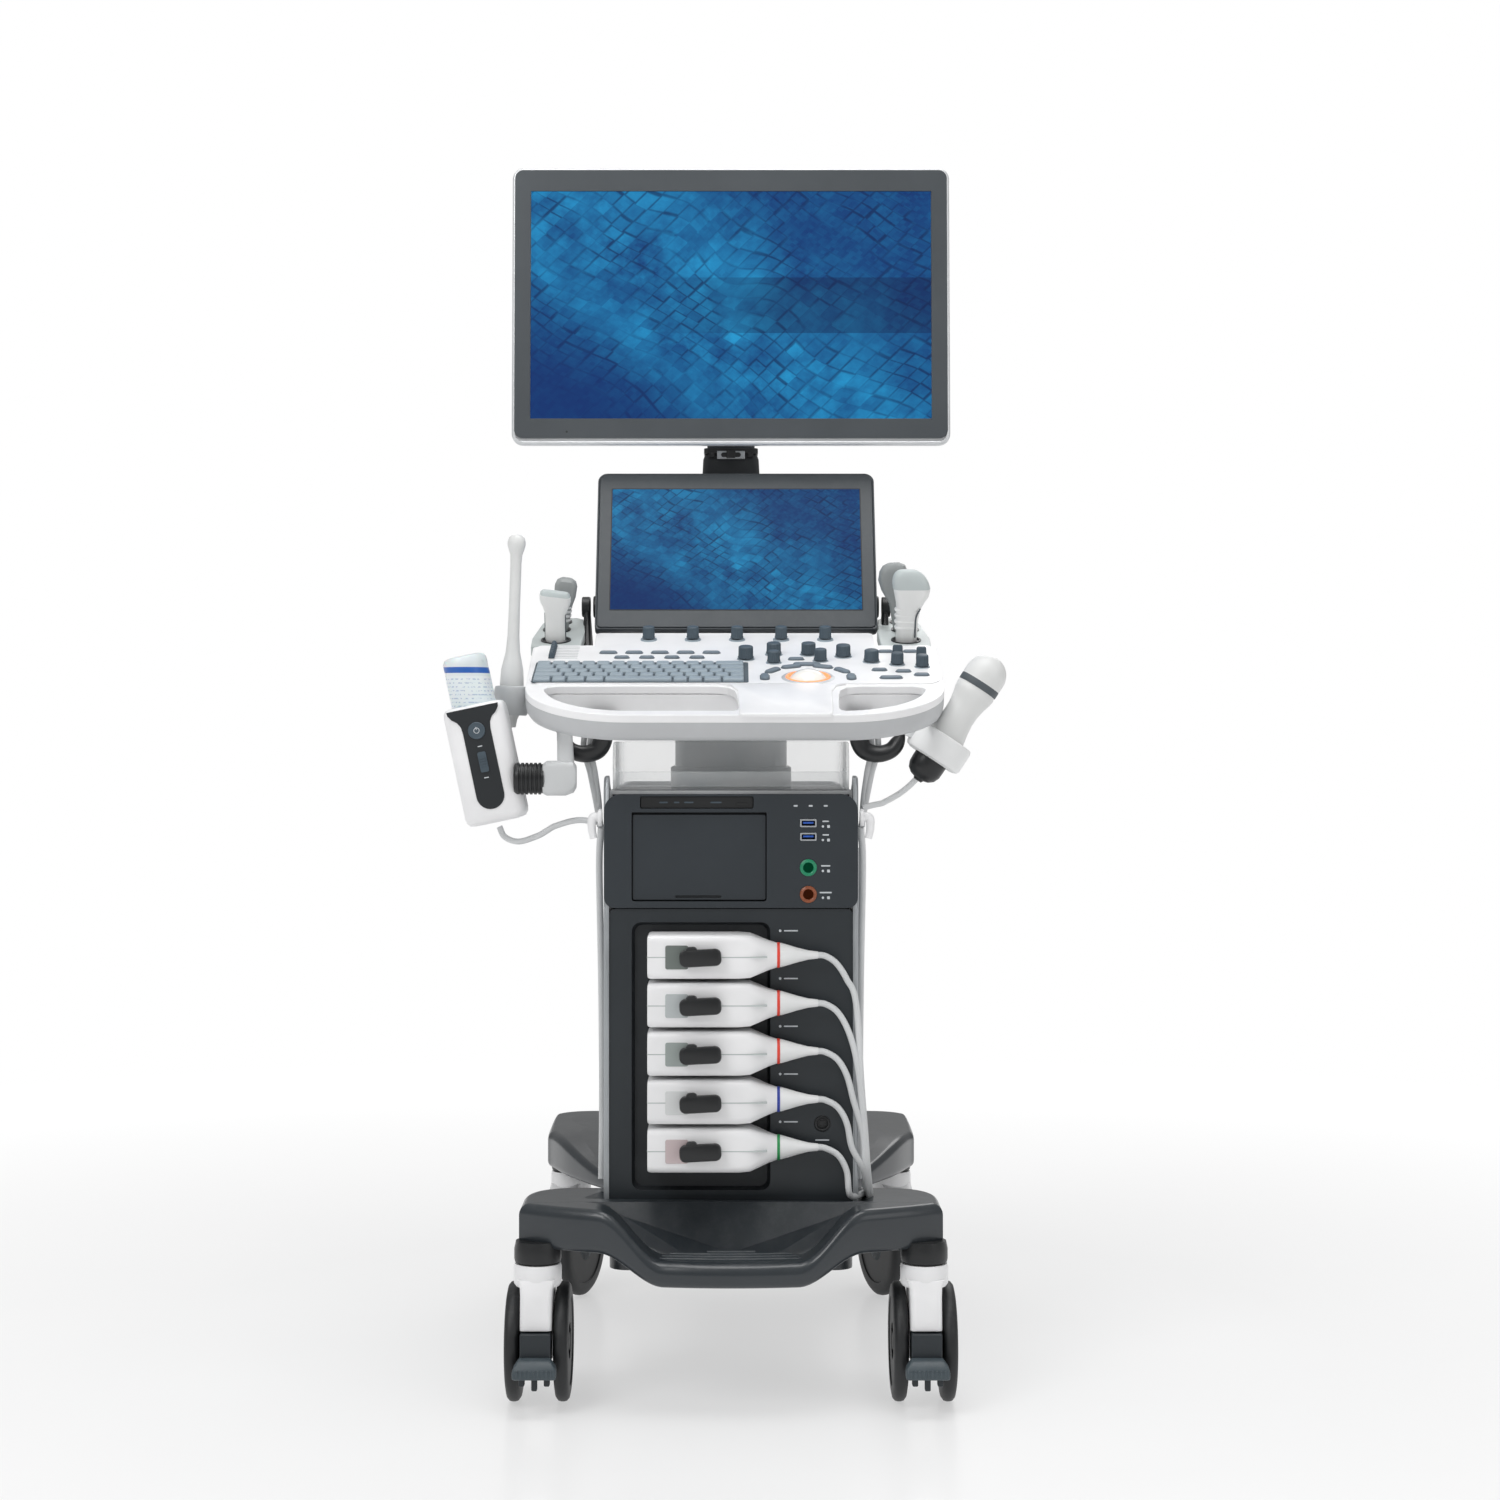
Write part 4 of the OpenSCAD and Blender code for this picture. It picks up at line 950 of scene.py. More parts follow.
def build_shell():
    axle = joint_at("touch_tilt")
    with piece("console_pan", "console", LIGHT_GREY, PANEL, hides=["console_shell"]) as bm:
        add_loft(bm, [[Vector((x, s, w)) for x, w in rounded(2 * half, -22 - low, 6, 5, 0, (low - 22) / 2)]
                      for s, half, low in ((121, 196, -30), (124, 199, -42), (150, 200, -50),
                                           (230, 200, -58), (286, 198, -62), (292, 190, -58))])
    with piece("console_keel", "console", WHITE, bevel=2) as bm:
        add_loft(bm, [flat(rounded(w, d, 16, 6, 0, y), z)
                      for w, d, y, z in ((240, 196, -122, 703), (250, 208, -122, 707),
                                         (258, 216, -122, 730), (258, 160, -90, 752))])
    with piece("console_neck", "console", COLUMN, sharp=60) as bm:
        add_loft(bm, [flat(rounded(w, d, 18, 8, 0, -35), z)
                      for z, w, d in ((700.5, 130, 146), (703, 136, 150), (706, 150, 160), (710, 170, 172),
                                      (714, 178, 176), (718, 178, 176))])
    with piece("console_tail", "console", WHITE_SOFT) as bm:
        add_loft(bm, [[Vector((x, y, z)) for x, z in rounded(2 * half, z1 - z0, 9, 5, 0, (z0 + z1) / 2)]
                      for y, half, z0, z1 in ((-40, 146, 742, 786), (0, 144, 752, 790), (30, 120, 756, 794),
                                              (70, 84, 757, 797), (160, 72, 757, 798), (230, 70, 757, 798),
                                              (250, 64, 762, 794))])
        add_lathe(bm, [(0.1, 790), (48, 790), (44, 800), (42, 806), (42, 838), (40.5, 840), (0.1, 840)], 56,
                  shift((0, 207, 0)))
    with piece("touch_hinge_posts", "console", BLACK) as bm:
        for side in SIDES:
            add_loft(bm,
                     [flat([(CONSOLE_DX + side * x, y)
                            for x, y in rounded(x1 - x0, y1 - y0, 4, 4, (x0 + x1) / 2, (y0 + y1) / 2)], z)
                      for z, y0, y1, x0, x1 in ((776, -12, 46, 142, 180), (796, 0, 50, 168, 180),
                                                (846, 34, 57, 172, 179.5), (860, 37, 55, 172.5, 179))])
            at = shift((CONSOLE_DX + side * 177, axle.y, axle.z)) @ TO_X
            add_lathe(bm, [(0.1, -5), (11, -5), (12, -4), (12, 4), (11, 5), (0.1, 5)], 32, at)


KEY_X0, KEY_X1, KEY_S0, KEY_ROWS = -214, 16, 130.5, 5
ROW_PITCH = 16.4


def build_keys():
    with piece("key_well", "console", KEY_WELL, PANEL) as bm:
        add_plate(bm, rounded(235, 86, 3, 3, -98.5, 171.5), [], flat, 1.2, 1.6)
    bm = bmesh.new()
    pitch = (KEY_X1 - KEY_X0) / 14

    def key(x, s, w):
        rows = []
        d = ROW_PITCH - 2.3
        for z, g in ((-1.0, 0), (3.0, 0.1), (4.2, 0.5), (4.8, 1.5), (4.5, 4.2)):
            corner = max(0.4, 1.4 - g * 0.3)
            rows.append(flat(rounded(w - 2 * g, d - 2 * g, corner, 2, x + w / 2, s + d / 2), z))
        add_loft(bm, rows)
    for r in range(KEY_ROWS):
        s = KEY_S0 + r * ROW_PITCH
        if r == 0:
            widths = [1.25, 1, 1.25, 1.25, 4.5, 1, 1, 1.25, 1.5]
        else:
            first = (1, 2.0, 1.6, 1.3, 1.0)[r]
            widths = [first] + [1] * 11 + [14 - 11 - first]
        x = KEY_X0
        for k in widths:
            key(x, s, k * pitch - 2.1)
            x += k * pitch
    finish_mesh("keycaps", bm, "keys", KEY, PANEL, sharp=50, hides=["keys"])


def button_shapes():
    out = [(-138 + i * 29, 257, 19, 7, 0) for i in range(5)]
    out += [(-122 + i * 28, 235, 16, 7, 0) for i in range(4)]
    out += [(x, s, w, 7, 0) for x, s, w in ((174, 262, 16), (202, 262, 16), (72.6, 228, 17), (163, 181, 16),
                                            (189, 175, 16), (208, 160, 16))]
    out += [(174, 148, 24, 8, 0), (BALL_AT[0], BALL_AT[1] + 54, 30, 9, 0)]
    for a in (0, 36, 68, 112, 144, 180):
        t = math.radians(a)
        out.append((BALL_AT[0] + 47 * math.cos(t), BALL_AT[1] + 47 * math.sin(t), 22, 9, t + math.pi / 2))
    return out


def build_buttons():
    caps, wells = bmesh.new(), bmesh.new()
    for x, s, w, d, turn in button_shapes():
        rows = [flat(stadium(w - 2 * g, d - 2 * g, 6, x, s, turn), z)
                for z, g in ((-2, 0), (2.6, 0), (3.3, 0.5), (3.7, 1.5), (3.6, 2.6))]
        add_loft(caps, rows)
        add_plate(wells, stadium(w + 1.8, d + 1.8, 6, x, s, turn), [], flat, 1.0, 1.45)
    finish_mesh("button_caps", caps, "buttons", BUTTON, PANEL, sharp=55, hides=["buttons"])
    finish_mesh("button_wells", wells, "console", KEY_WELL, PANEL)


def add_knob(bm, x, s, r, h):
    at = shift((x, s, 0))
    profile = [(0.1, 3.1), (r * 1.06, 3.1), (r * 1.08, 3.9), (r, 4.8), (r * 0.98, h - 1.6),
               (r * 0.93, h - 0.5), (r * 0.84, h), (0.1, h - 0.3)]
    add_lathe(bm, profile, 72, at, 0.07, 18)


# Place on the panel, radius of the cap and radius of the skirt.
KNOBS = [(48, 250, 8.2, 10), (87, 250, 8.2, 10), (125.6, 241, 8.2, 10), (156, 218, 8.2, 10),
         (47.4, 214, 7, 9), (99.5, 222, 7, 9), (184, 206, 7, 9), (211, 196, 7, 9)]
GAIN_KNOB = (16.5, 230, 8.4, 10)
SOFT_KNOBS = [(6.9 + i * 50.7, 322) for i in range(-2, 3)]


def build_knobs():
    with piece("knob_caps", "knobs", KNOB, PANEL, sharp=50, hides=["knobs"]) as bm:
        for x, s, r, _ in KNOBS:
            add_knob(bm, x, s, r, 15)
        for x, s in SOFT_KNOBS:
            add_knob(bm, x, s, 7, 16)
        for x, s in ((186, 234), (212, 226)):
            add_loft(bm, [flat(stadium(w, d, 6, x, s), z)
                          for z, w, d in ((2.3, 12, 10), (4, 12, 10), (7, 12, 7.5), (15, 11, 5),
                                          (16.4, 9, 3.4))])
    with piece("gain_knob_cap", "knob_gain", KNOB, PANEL, sharp=50, hides=["knob_gain"]) as bm:
        add_knob(bm, *GAIN_KNOB[:3], 16)
    with piece("knob_skirts", "console", KEY, PANEL) as bm:
        for x, s, _, r in KNOBS + [GAIN_KNOB]:
            add_lathe(bm, [(0.1, 1), (r, 1), (r - 0.6, 1.9), (0.1, 1.9)], 40, shift((x, s, 0)))
        for x, s in SOFT_KNOBS:
            add_lathe(bm, [(0.1, 0), (9.5, 0), (9, 1.6), (0.1, 1.6)], 40, shift((x, s, 0)))


def build_sliders():
    bm, slots = bmesh.new(), bmesh.new()
    for i in range(8):
        s = 234 + i * 7.2
        rows = [flat(rounded(w, d, 1, 3, -200.5, s), z)
                for z, w, d in ((1.5, 7, 4.8), (5.5, 6.4, 4.4), (8, 4, 3.2), (8.6, 2.6, 2.2))]
        add_loft(bm, rows)
        add_plate(slots, stadium(31, 2.2, 4, -187, s), [], flat, 1.0, 1.5)
    finish_mesh("slider_caps", bm, "tgc_sliders", KNOB, PANEL, hides=["tgc_sliders"])
    finish_mesh("slider_slots", slots, "console", LIGHT_GREY, PANEL)


def build_trackball():
    with piece("track_ball", "trackball", BALL, PANEL, hides=["trackball"]) as bm:
        bmesh.ops.create_uvsphere(bm, u_segments=64, v_segments=40, radius=25.9,
                                  matrix=shift((*BALL_AT, -15.6)) @ TO_X)
    at = shift((*BALL_AT, 0))
    with piece("ball_glow_ring", "console", ORANGE, PANEL) as bm:
        add_lathe(bm, [(21.4, -1), (21.4, 2.2), (21.9, 2.9), (23.6, 2.9), (24.6, 1.8), (24.8, 0)], 72, at)
    with piece("ball_bezel", "console", SILVER, PANEL) as bm:
        add_lathe(bm, [(24.7, 0), (24.7, 1.9), (25.4, 2.4), (27.4, 2.2), (29, 1.2), (29.4, 0)], 72, at)


# ---------------------------------------------------------------- screens

def build_touch():
    w, h = 330, 210
    with piece("touch_case", "touch", BEZEL, TOUCH, sharp=50, hides=["touch_panel"]) as bm:
        add_loft(bm, [upright(rounded(w - 2 * g, h - 2 * g, [11, 11, 5, 5], 8, 0, h / 2), y)
                      for y, g in ((1.2, 2.5), (0, 1.4), (0.2, 0.4), (1.4, 0), (14, 0), (19, 3), (20, 8))])
    with piece("touch_front_glass", "touch", BEZEL, TOUCH, bevel=0.4) as bm:
        add_plate(bm, rounded(324, 204, [9, 9, 4, 4], 6, 0, h / 2), [], upright, -0.5, 1.6)
    with piece("touch_border", "touch", RECESS, TOUCH) as bm:
        add_plate(bm, rounded(297, 164, 0.6, 2, 0, 106.5), [], upright, -0.75, 0)
    with piece("touch_image", "touch", TOUCH_SCREEN, TOUCH, hides=["touch_glass"]) as bm:
        add_plate(bm, rounded(294.6, 161.6, 0.4, 2, 0, 106.5), [], upright, -0.95, 0)
    with piece("touch_hinge_bar", "touch", BLACK, TOUCH, bevel=0.6) as bm:
        for side in SIDES:
            at = shift((side * 164, 30, 45)) @ TO_X
            add_lathe(bm, [(0.1, -4.5), (12, -4.5), (13, -3), (13, 3), (12, 4.5), (0.1, 4.5)], 36, at)
        add_tube(bm, [Vector((-160, 30, 45)), Vector((160, 30, 45))], 6.5)
        for side in SIDES:
            add_box(bm, side * 120 - 12, side * 120 + 12, 18, 31, 35, 55)


def build_monitor():
    w, h = 521, 333
    with piece("monitor_case", "monitor", SILVER, MON, sharp=50, hides=["monitor_shell"]) as rim:
        add_loft(rim, [upright(rounded(w - 2 * g, h - 2 * g, r, 8), y)
                       for y, g, r in ((3.0, 5.0, 8), (0.8, 4.2, 9), (0.2, 2.6, 10), (1.2, 0.8, 12),
                                       (3.4, 0, 13), (9, 0, 13), (20, 1.5, 13), (29, 7, 12), (33, 20, 12),
                                       (35, 46, 20), (40, 58, 24), (41, 64, 24))])
    with piece("monitor_front", "monitor", BEZEL, MON, bevel=0.5, hides=["monitor_bezel"]) as bm:
        add_plate(bm, rounded(w - 6, h - 11, 10, 8, 0, 2.5), [rounded(477.4, 273.4, 0.5, 2, 0, 1.5)],
                  upright, 0.3, 4)
    with piece("monitor_image", "monitor", MAIN_SCREEN, MON, hides=["monitor_screen"]) as bm:
        add_plate(bm, rounded(476.6, 272.6, 0.3, 2, 0, 1.5), [], upright, 1.0, 3)
    with piece("monitor_led", "monitor", RECESS, MON) as bm:
        add_plate(bm, circle(1.3, 14, -195, -151), [], upright, 0, 0.6)
    # Painted shadow: the vents are flat dark plates on the back, standing for the shade inside the slots.
    with piece("monitor_vent_shadows", "monitor", RECESS, MON) as bm:
        for k in range(12):
            for side in SIDES:
                add_plate(bm, stadium(60, 3, 4, side * 90, 62 + k * 5.2), [], upright, 40.6, 41.3)
    with piece("monitor_bracket", "monitor", ARM, MON, bevel=0.8) as bm:
        add_plate(bm, rounded(112, 112, 8, 5), [], upright, 40, 44)
        for side in SIDES:
            add_loft(bm, [[Vector((side * 26 + x, y, z)) for y, z in rounded(32, 24, 8, 5, 57, 0)]
                          for x in (-5, 5)])
            for k in SIDES:
                add_lathe(bm, [(0.1, 0), (4.5, 0), (4.2, 2), (0.1, 2.4)], 20,
                          shift((side * 46, 44, k * 46)) @ turned("X", -90))


def build_arm():
    with piece("arm_mast", "arm_lower", ARM, hides=["arm_lower"]) as bm:
        add_lathe(bm, [(0.1, 840.4), (39, 840.4), (40, 842), (40, 864), (38, 872), (30, 878), (0.1, 878)],
                  56, shift((0, 207, 0)))
        add_loft(bm,
                 [flat(rounded(2 * half, y1 - y0, 7, 5, 0, (y0 + y1) / 2), z)
                  for z, y0, y1, half in ((851, 150, 206, 34), (856, 147, 208, 36), (870, 147, 206, 36),
                                          (884, 147, 192, 36.5), (900, 147, 185, 37), (1000, 147, 183, 36),
                                          (1040, 147, 183, 34), (1046, 149, 181, 32))])
    with piece("arm_slider", "arm_upper", BASE, bevel=0.8, hides=["arm_upper"]) as bm:
        add_loft(bm, [flat(rounded(58, 22, 5, 5, 0, 165), z) for z in (960, 1186, 1189)])
        add_lathe(bm, [(0.1, 1186), (27, 1186), (28, 1188), (28, 1197), (26, 1199.5), (0.1, 1199.5)], 48,
                  shift((0, 165, 0)))
    with piece("arm_collar", "arm_upper", BLACK, bevel=1) as bm:
        add_loft(bm, [flat(rounded(66, 36, 6, 5, 0, 165), z) for z in (1046.8, 1052, 1054)])
    with piece("latch_plate", "arm_lower", METAL, bevel=1) as bm:
        add_box(bm, -17, 17, 142, 147.5, 1040, 1050)
    with piece("latch_lever", "arm_lower", BLACK, bevel=0.8) as bm:
        add_box(bm, -5.5, 5.5, 136, 143, 1041, 1050)
        add_loft(bm, [upright(rounded(24, 5.5, 2.6, 4, 0, 1045), y) for y in (138.5, 143)])
        add_box(bm, -27, -20, 144, 149, 1042, 1048)
        add_box(bm, 20, 27, 144, 149, 1042, 1048)
    with piece("neck_turret", "monitor_neck", ARM, hides=["monitor_neck"]) as bm:
        add_lathe(bm, [(0.1, 1200), (24, 1200), (25, 1202), (25, 1222), (23, 1226), (0.1, 1226)], 48,
                  shift((0, 165, 0)))
    with piece("neck_yoke", "monitor_neck", ARM, MON, bevel=1.5) as bm:
        add_box(bm, -18, 18, 60, 92, -3, 12)
        add_lathe(bm, [(0.1, -20), (8.6, -20), (9, -19), (9, 19), (8.6, 20), (0.1, 20)], 32,
                  shift((0, 62, 0)) @ TO_X)


# ---------------------------------------------------------------- probes, gel and hooks

def build_holders():
    with piece("holder_plates", "console", HOLDER, PANEL, bevel=1.5, hides=["probe_holders"]) as bm:
        for side in SIDES:
            outer = [(side * x, s) for x, s in ((171, 292), (228, 292), (229, 330), (222, 400), (214, 424),
                                                (206, 428), (182, 428), (174, 420), (170, 360))]
            holes = [circle(15.5, 28, side * 201, 318), circle(14.5, 28, side * 203, 368),
                     circle(13.9, 28, side * 203, 405)]
            add_plate(bm, outer, holes, flat, -12, 0.6)
    with piece("holder_cups", "console", BLACK, PANEL) as bm:
        for side in SIDES:
            for s, r in ((318, 16), (368, 15), (405, 14.4)):
                add_lathe(bm, [(r - 1.8, -30), (r, -30), (r + 0.2, 0),
                               (r + 1.4, 0.8), (r + 1.2, 1.8), (r - 0.6, 1.6), (r - 1.6, 0)], 40,
                          shift((side * (201 if s == 318 else 203), s, 0)))
    with piece("cavity_ring", "console", LIGHT_GREY, CAVITY) as bm:
        add_lathe(bm, [(14.2, -16), (17, -16), (18.4, -14), (18.8, 12), (17.6, 15.4), (15.4, 16),
                       (14.2, 14)], 44)
    with piece("cavity_bracket", "console", LIGHT_GREY) as bm:
        path = spline([(-226, -180, 738), (-214, -180, 738), (-202, -180, 740), (-190, -180, 742)], 6)
        add_tube(bm, path, 8, 14)
    with piece("warmer_arm", "console", LIGHT_GREY) as bm:
        add_loft(bm, [[Vector((x, y, z))
                       for y, z in rounded(y1 - y0, z1 - z0, 7, 5, (y0 + y1) / 2, (z0 + z1) / 2)]
                      for x, z0, z1, y0, y1 in ((-200, 642, 674, -272, -248), (-196, 640, 677, -274, -246),
                                                (-176, 640, 677, -274, -246), (-168, 643, 676, -273, -247),
                                                (-165, 648, 672, -271, -249))])
        add_loft(bm, [flat(rounded(w, 22, 6, 5, x, -259), z)
                      for z, w, x in ((668, 18, -176), (700, 16, -177), (724, 16, -178))])
    with piece("warmer_clamp", "console", BLACK, sharp=25) as bm:
        at = shift((-229, -259, 658)) @ TO_X
        profile = [(0.1, -2), (15, -2), (16.6, 0)]
        for k in range(6):
            profile += [(17, 1 + k * 4.6), (17, 3.4 + k * 4.6), (15.6, 3.8 + k * 4.6), (15.6, 5 + k * 4.6)]
        profile += [(16, 30), (0.1, 30)]
        add_lathe(bm, profile, 40, at)
    with piece("side_cup", "console", WHITE_SOFT, CUP) as bm:
        add_lathe(bm, [(14, -14), (27, -14), (31.5, -12), (33, -9), (33, 12), (32, 15), (30, 16), (28, 15),
                       (27.2, 12), (27.2, -8), (14, -8)], 64)
    with piece("cup_bracket", "console", LIGHT_GREY) as bm:
        path = spline([(192, -238, 702), (197, -238, 712), (203, -238, 726)], 6)
        add_tube(bm, path, 9, 14)


def build_hooks():
    with piece("cable_horns", "console", BLACK, hides=["hooks"]) as bm:
        for side in SIDES:
            stem = spline([(side * 138, -235, 724), (side * 138, -235, 712), (side * 138, -235, 699),
                           (side * 144, -235, 688), (side * 158, -235, 684), (side * 172, -235, 688),
                           (side * 180, -235, 698), (side * 184, -235, 709)], 8)
            add_tube(bm, stem, lambda t: 12.5 - 4 * t - 4 * smooth_step(t, 0.8, 1), 18, 0.8)
            add_loft(bm, [flat(rounded(30, 20, 5, 4, side * 139, -235), z) for z in (714, 722, 728)])


def build_warmer():
    with piece("warmer_case", "console", WHITE, WARMER, sharp=45, hides=["warmer_housing"]) as bm:
        rows = []
        for z, g in ((-64, 9), (-63, 4), (-59, 1), (-54, 0), (54, 0), (60, 0.8), (63.2, 3), (64, 6)):
            rows.append(flat(rounded(66 - 2 * g, 62 - 2 * g, 13 - g * 0.4, 8), z))
        for z, r in ((63.5, 27.5), (62, 26), (30, 25.6), (30, 10)):
            rows.append([Vector((r * math.cos(a), r * math.sin(a), z)) for a in
                         (math.atan2(p.y, p.x) for p in rows[0])])
        add_loft(bm, rows)
    with piece("warmer_control_strip", "console", RECESS, WARMER, bevel=0.5) as bm:
        shoulder = [(-28, 61), (-27.4, 57), (-24, 52), (-19, 48), (-16, 43), (-15, 36)]
        strip = shoulder + [(-15, -34)]
        strip += [(-15 * math.cos(a), -34 - 15 * math.sin(a))
                  for a in (math.pi * i / 16 for i in range(1, 16))]
        strip += [(15, -34)] + [(-x, z) for x, z in reversed(shoulder)]
        add_plate(bm, strip, [], upright, -31.9, -29)
    with piece("warmer_switches", "console", KNOB, WARMER, bevel=0.4) as bm:
        at = shift((0, -31.9, 36)) @ TO_Y
        add_lathe(bm, [(0.1, 0), (9, 0), (9.2, 1), (8.4, 1.8), (6.8, 1.4), (0.1, 1.2)], 40, at)
        add_plate(bm, rounded(9, 22, 2, 4, 0, 2), [], upright, -33.4, -31.5)
        for k in range(4):
            add_plate(bm, rounded(7.6, 1.4, 0.4, 2, 0, -2 + k * 2.8), [], upright, -34, -33)
    with piece("warmer_marks", "console", MARK, WARMER) as bm:
        power = circle(3.2, 20, 0, 36)
        add_plate(bm, power, [circle(2.5, 20, 0, 36)], upright, -33.6, -33.1)
        add_plate(bm, rounded(0.7, 3.4, 0.3, 2, 0, 38.2), [], upright, -33.8, -33.1)
        add_plate(bm, stadium(5, 1.1, 4, 0, 19), [], upright, -32.2, -31.6)
        add_plate(bm, stadium(5, 1.1, 4, 0, -15), [], upright, -32.2, -31.6)
    with piece("warmer_back_pad", "console", LIGHT_GREY, WARMER, bevel=0.5) as bm:
        add_plate(bm, rounded(16, 58, 7, 5, 0, 0), [], upright, 30.5, 31.6)
    with piece("gel_bottle_body", "gel_bottle", GEL, WARMER, hides=["gel_bottle"]) as bm:
        add_lathe(bm, [(0.1, -36), (20, -36), (23, -33), (24, -28), (24, 96), (23.6, 102), (23.9, 108),
                       (23.6, 113), (21.5, 116.5), (17, 118), (0.1, 118.3)], 56)


def add_grip(bm, at, rows, n=6):
    """Lofts a probe body from (height, width, depth, corner, x offset) rows."""
    add_loft(bm, [[at @ Vector((x, y, z)) for x, y in rounded(w, d, min(r, w / 2 - 0.1, d / 2 - 0.1), n, dx)]
                  for z, w, d, r, dx in rows])


def build_probes():
    left, right = shift((-201, 318, 0)), shift((201, 318, 0))
    rear_l = shift((-199, 368, 0)) @ turned("Y", 7)
    rear_r = shift((201, 368, 0)) @ turned("Y", -4)
    skew = Matrix.Shear("XY", 4, (0, 0))
    skew[2][0] = -0.12
    with piece("linear_probe", "probes_left", GEL_HAND, PANEL, hides=["probes_left"]) as bm:
        add_grip(bm, left @ skew, ((-28, 10, 10, 5, 0), (-6, 18, 15, 7, 0), (2, 24, 17, 7, 0),
                                   (20, 23.5, 17, 7, 0), (32, 24, 17, 7, 0), (39, 28.5, 17.5, 7, 0),
                                   (44, 33.5, 18, 7, 0), (48, 35.5, 18, 7, 0), (53, 35, 18, 6, 0)))
    with piece("linear_probe_lens", "probes_left", LENS, PANEL) as bm:
        add_grip(bm, left @ skew, ((52.5, 34, 17, 6, 0), (56, 33.5, 15.5, 6, 0), (58, 30, 12, 5, 0)))
    with piece("linear_probe_seams", "probes_left", PROBE_DARK, PANEL) as bm:
        for x, s in ((-11.6, 0), (11.4, -2)):
            add_tube(bm, [left @ Vector((x, s - 2, w)) for w in (2, 14, 26, 34)], 0.9, 8)
    with piece("sector_probe", "probes_left", PROBE_GREY, PANEL) as bm:
        add_grip(bm,
                 rear_l, ((-28, 10, 10, 5, 0), (0, 18, 16, 7, 0), (28, 20, 17, 7, 0), (42, 25, 18, 7, 1),
                          (54, 26, 19, 7, 1), (60, 22, 17, 7, 1), (63, 13, 10, 4.5, 1)))
    with piece("sector_probe_ribs", "probes_left", LIGHT_GREY, PANEL) as bm:
        for k in range(5):
            add_grip(bm, rear_l, ((12 + k * 5.2, 18.6, 16, 7, 0), (13.4 + k * 5.2, 21.6, 18.6, 7, 0),
                                  (14.8 + k * 5.2, 21.6, 18.6, 7, 0), (16.2 + k * 5.2, 18.6, 16, 7, 0)))
    with piece("convex_probe", "probes_right", GEL_HAND, PANEL, hides=["probes_right"]) as bm:
        add_grip(bm, right, ((-28, 10, 10, 5, 0), (-6, 18, 15, 7, 0), (0, 24, 17, 7, 0),
                             (26, 25.5, 18, 7, 0.5), (38, 28, 19, 8, 2), (46, 33, 21, 9, 4),
                             (53, 39, 22.5, 9, 5.5), (60, 41.5, 23, 9, 5.5), (66, 41, 22.5, 9, 4.8)))
    with piece("convex_probe_head", "probes_right", LENS, PANEL) as bm:
        rings = [(62 + 0.1 * i, 42.4, 23.6, 9, 5.2) for i in range(2)]
        for i in range(1, 9):
            a = math.pi / 2 * i / 8
            rings.append((63 + 20 * math.sin(a), 42.4 * (0.38 + 0.62 * math.cos(a)),
                          23.6 * (0.5 + 0.5 * math.cos(a)), 9, 5.2 - 5 * math.sin(a)))
        add_grip(bm, right, rings)
    with piece("convex_probe_ribs", "probes_right", GEL_HAND, PANEL) as bm:
        for k in range(4):
            add_grip(bm, right, ((14 + k * 7, 24, 17, 7, -0.4), (15.6 + k * 7, 26.6, 18.6, 7, -0.6),
                                 (17 + k * 7, 26.6, 18.6, 7, -0.6), (18.6 + k * 7, 24, 17, 7, -0.4)))
    with piece("convex_probe_stripe", "probes_right", PROBE_DARK, PANEL) as bm:
        add_tube(bm, spline([right @ Vector(q) for q in ((9.5, -8.6, 6), (9.8, -8.8, 24), (11, -9.2, 32),
                                                         (15, -9.8, 40))], 6), 0.9, 8)
    with piece("broad_probe", "probes_right", PROBE_GREY, PANEL) as bm:
        add_grip(bm, rear_r,
                 ((-28, 10, 10, 5, 0), (0, 19, 16, 7, -2), (34, 22, 18, 7, -4), (50, 30, 19, 8, -8),
                  (62, 34, 20, 9, -9), (72, 32, 19, 9, -8), (78, 26, 15, 7, -7), (81, 14, 8, 3.5, -7)))
    with piece("cavity_probe", "probe_cavity", GEL_HAND, CAVITY, hides=["probe_cavity"]) as bm:
        add_lathe(bm, [(0.1, -30), (6, -29), (7.5, -20), (12.4, -10), (13.2, 4), (13, 20), (12.2, 34),
                       (10, 44), (7.8, 54), (6.6, 70), (6.1, 100), (6.1, 150), (6.6, 160), (8.4, 165),
                       (9.8, 170), (9.9, 174), (8.6, 178.6), (5.6, 181.4), (0.1, 182.2)], 40)
    with piece("volume_probe", "probe_volume", GEL_HAND, CUP, hides=["probe_volume"]) as bm:
        add_lathe(bm, [(0.1, -8), (22, -8), (23.6, -4), (23.4, 8), (21, 18), (18.6, 30), (17.4, 40),
                       (17.6, 50), (19.4, 60), (21.6, 68), (22.4, 74), (21.8, 76), (21.8, 77), (0.1, 77)],
                  56)
    with piece("volume_probe_band", "probe_volume", PROBE_DARK, CUP) as bm:
        add_lathe(bm, [(0.1, 77), (22.2, 77), (22.6, 78), (22.6, 84), (22.2, 85), (0.1, 85)], 56)
    with piece("volume_probe_dome", "probe_volume", GEL_HAND, CUP) as bm:
        rows = [(0.1, 84.5), (22.3, 84.5), (22.6, 87)]
        rows += [(22.6 * math.cos(a), 93 + 23 * math.sin(a))
                 for a in (math.pi / 2 * i / 12 for i in range(12))] + [(0.1, 116)]
        add_lathe(bm, rows, 56)
    with piece("cup_boot", "console", BLACK, CUP, hides=["cables_upper"]) as bm:
        add_lathe(bm, [(0.1, -41), (4.5, -41), (6, -38.5), (11, -37), (16, -33), (18.6, -27), (19, -20),
                       (19, -13), (0.1, -13)], 48)


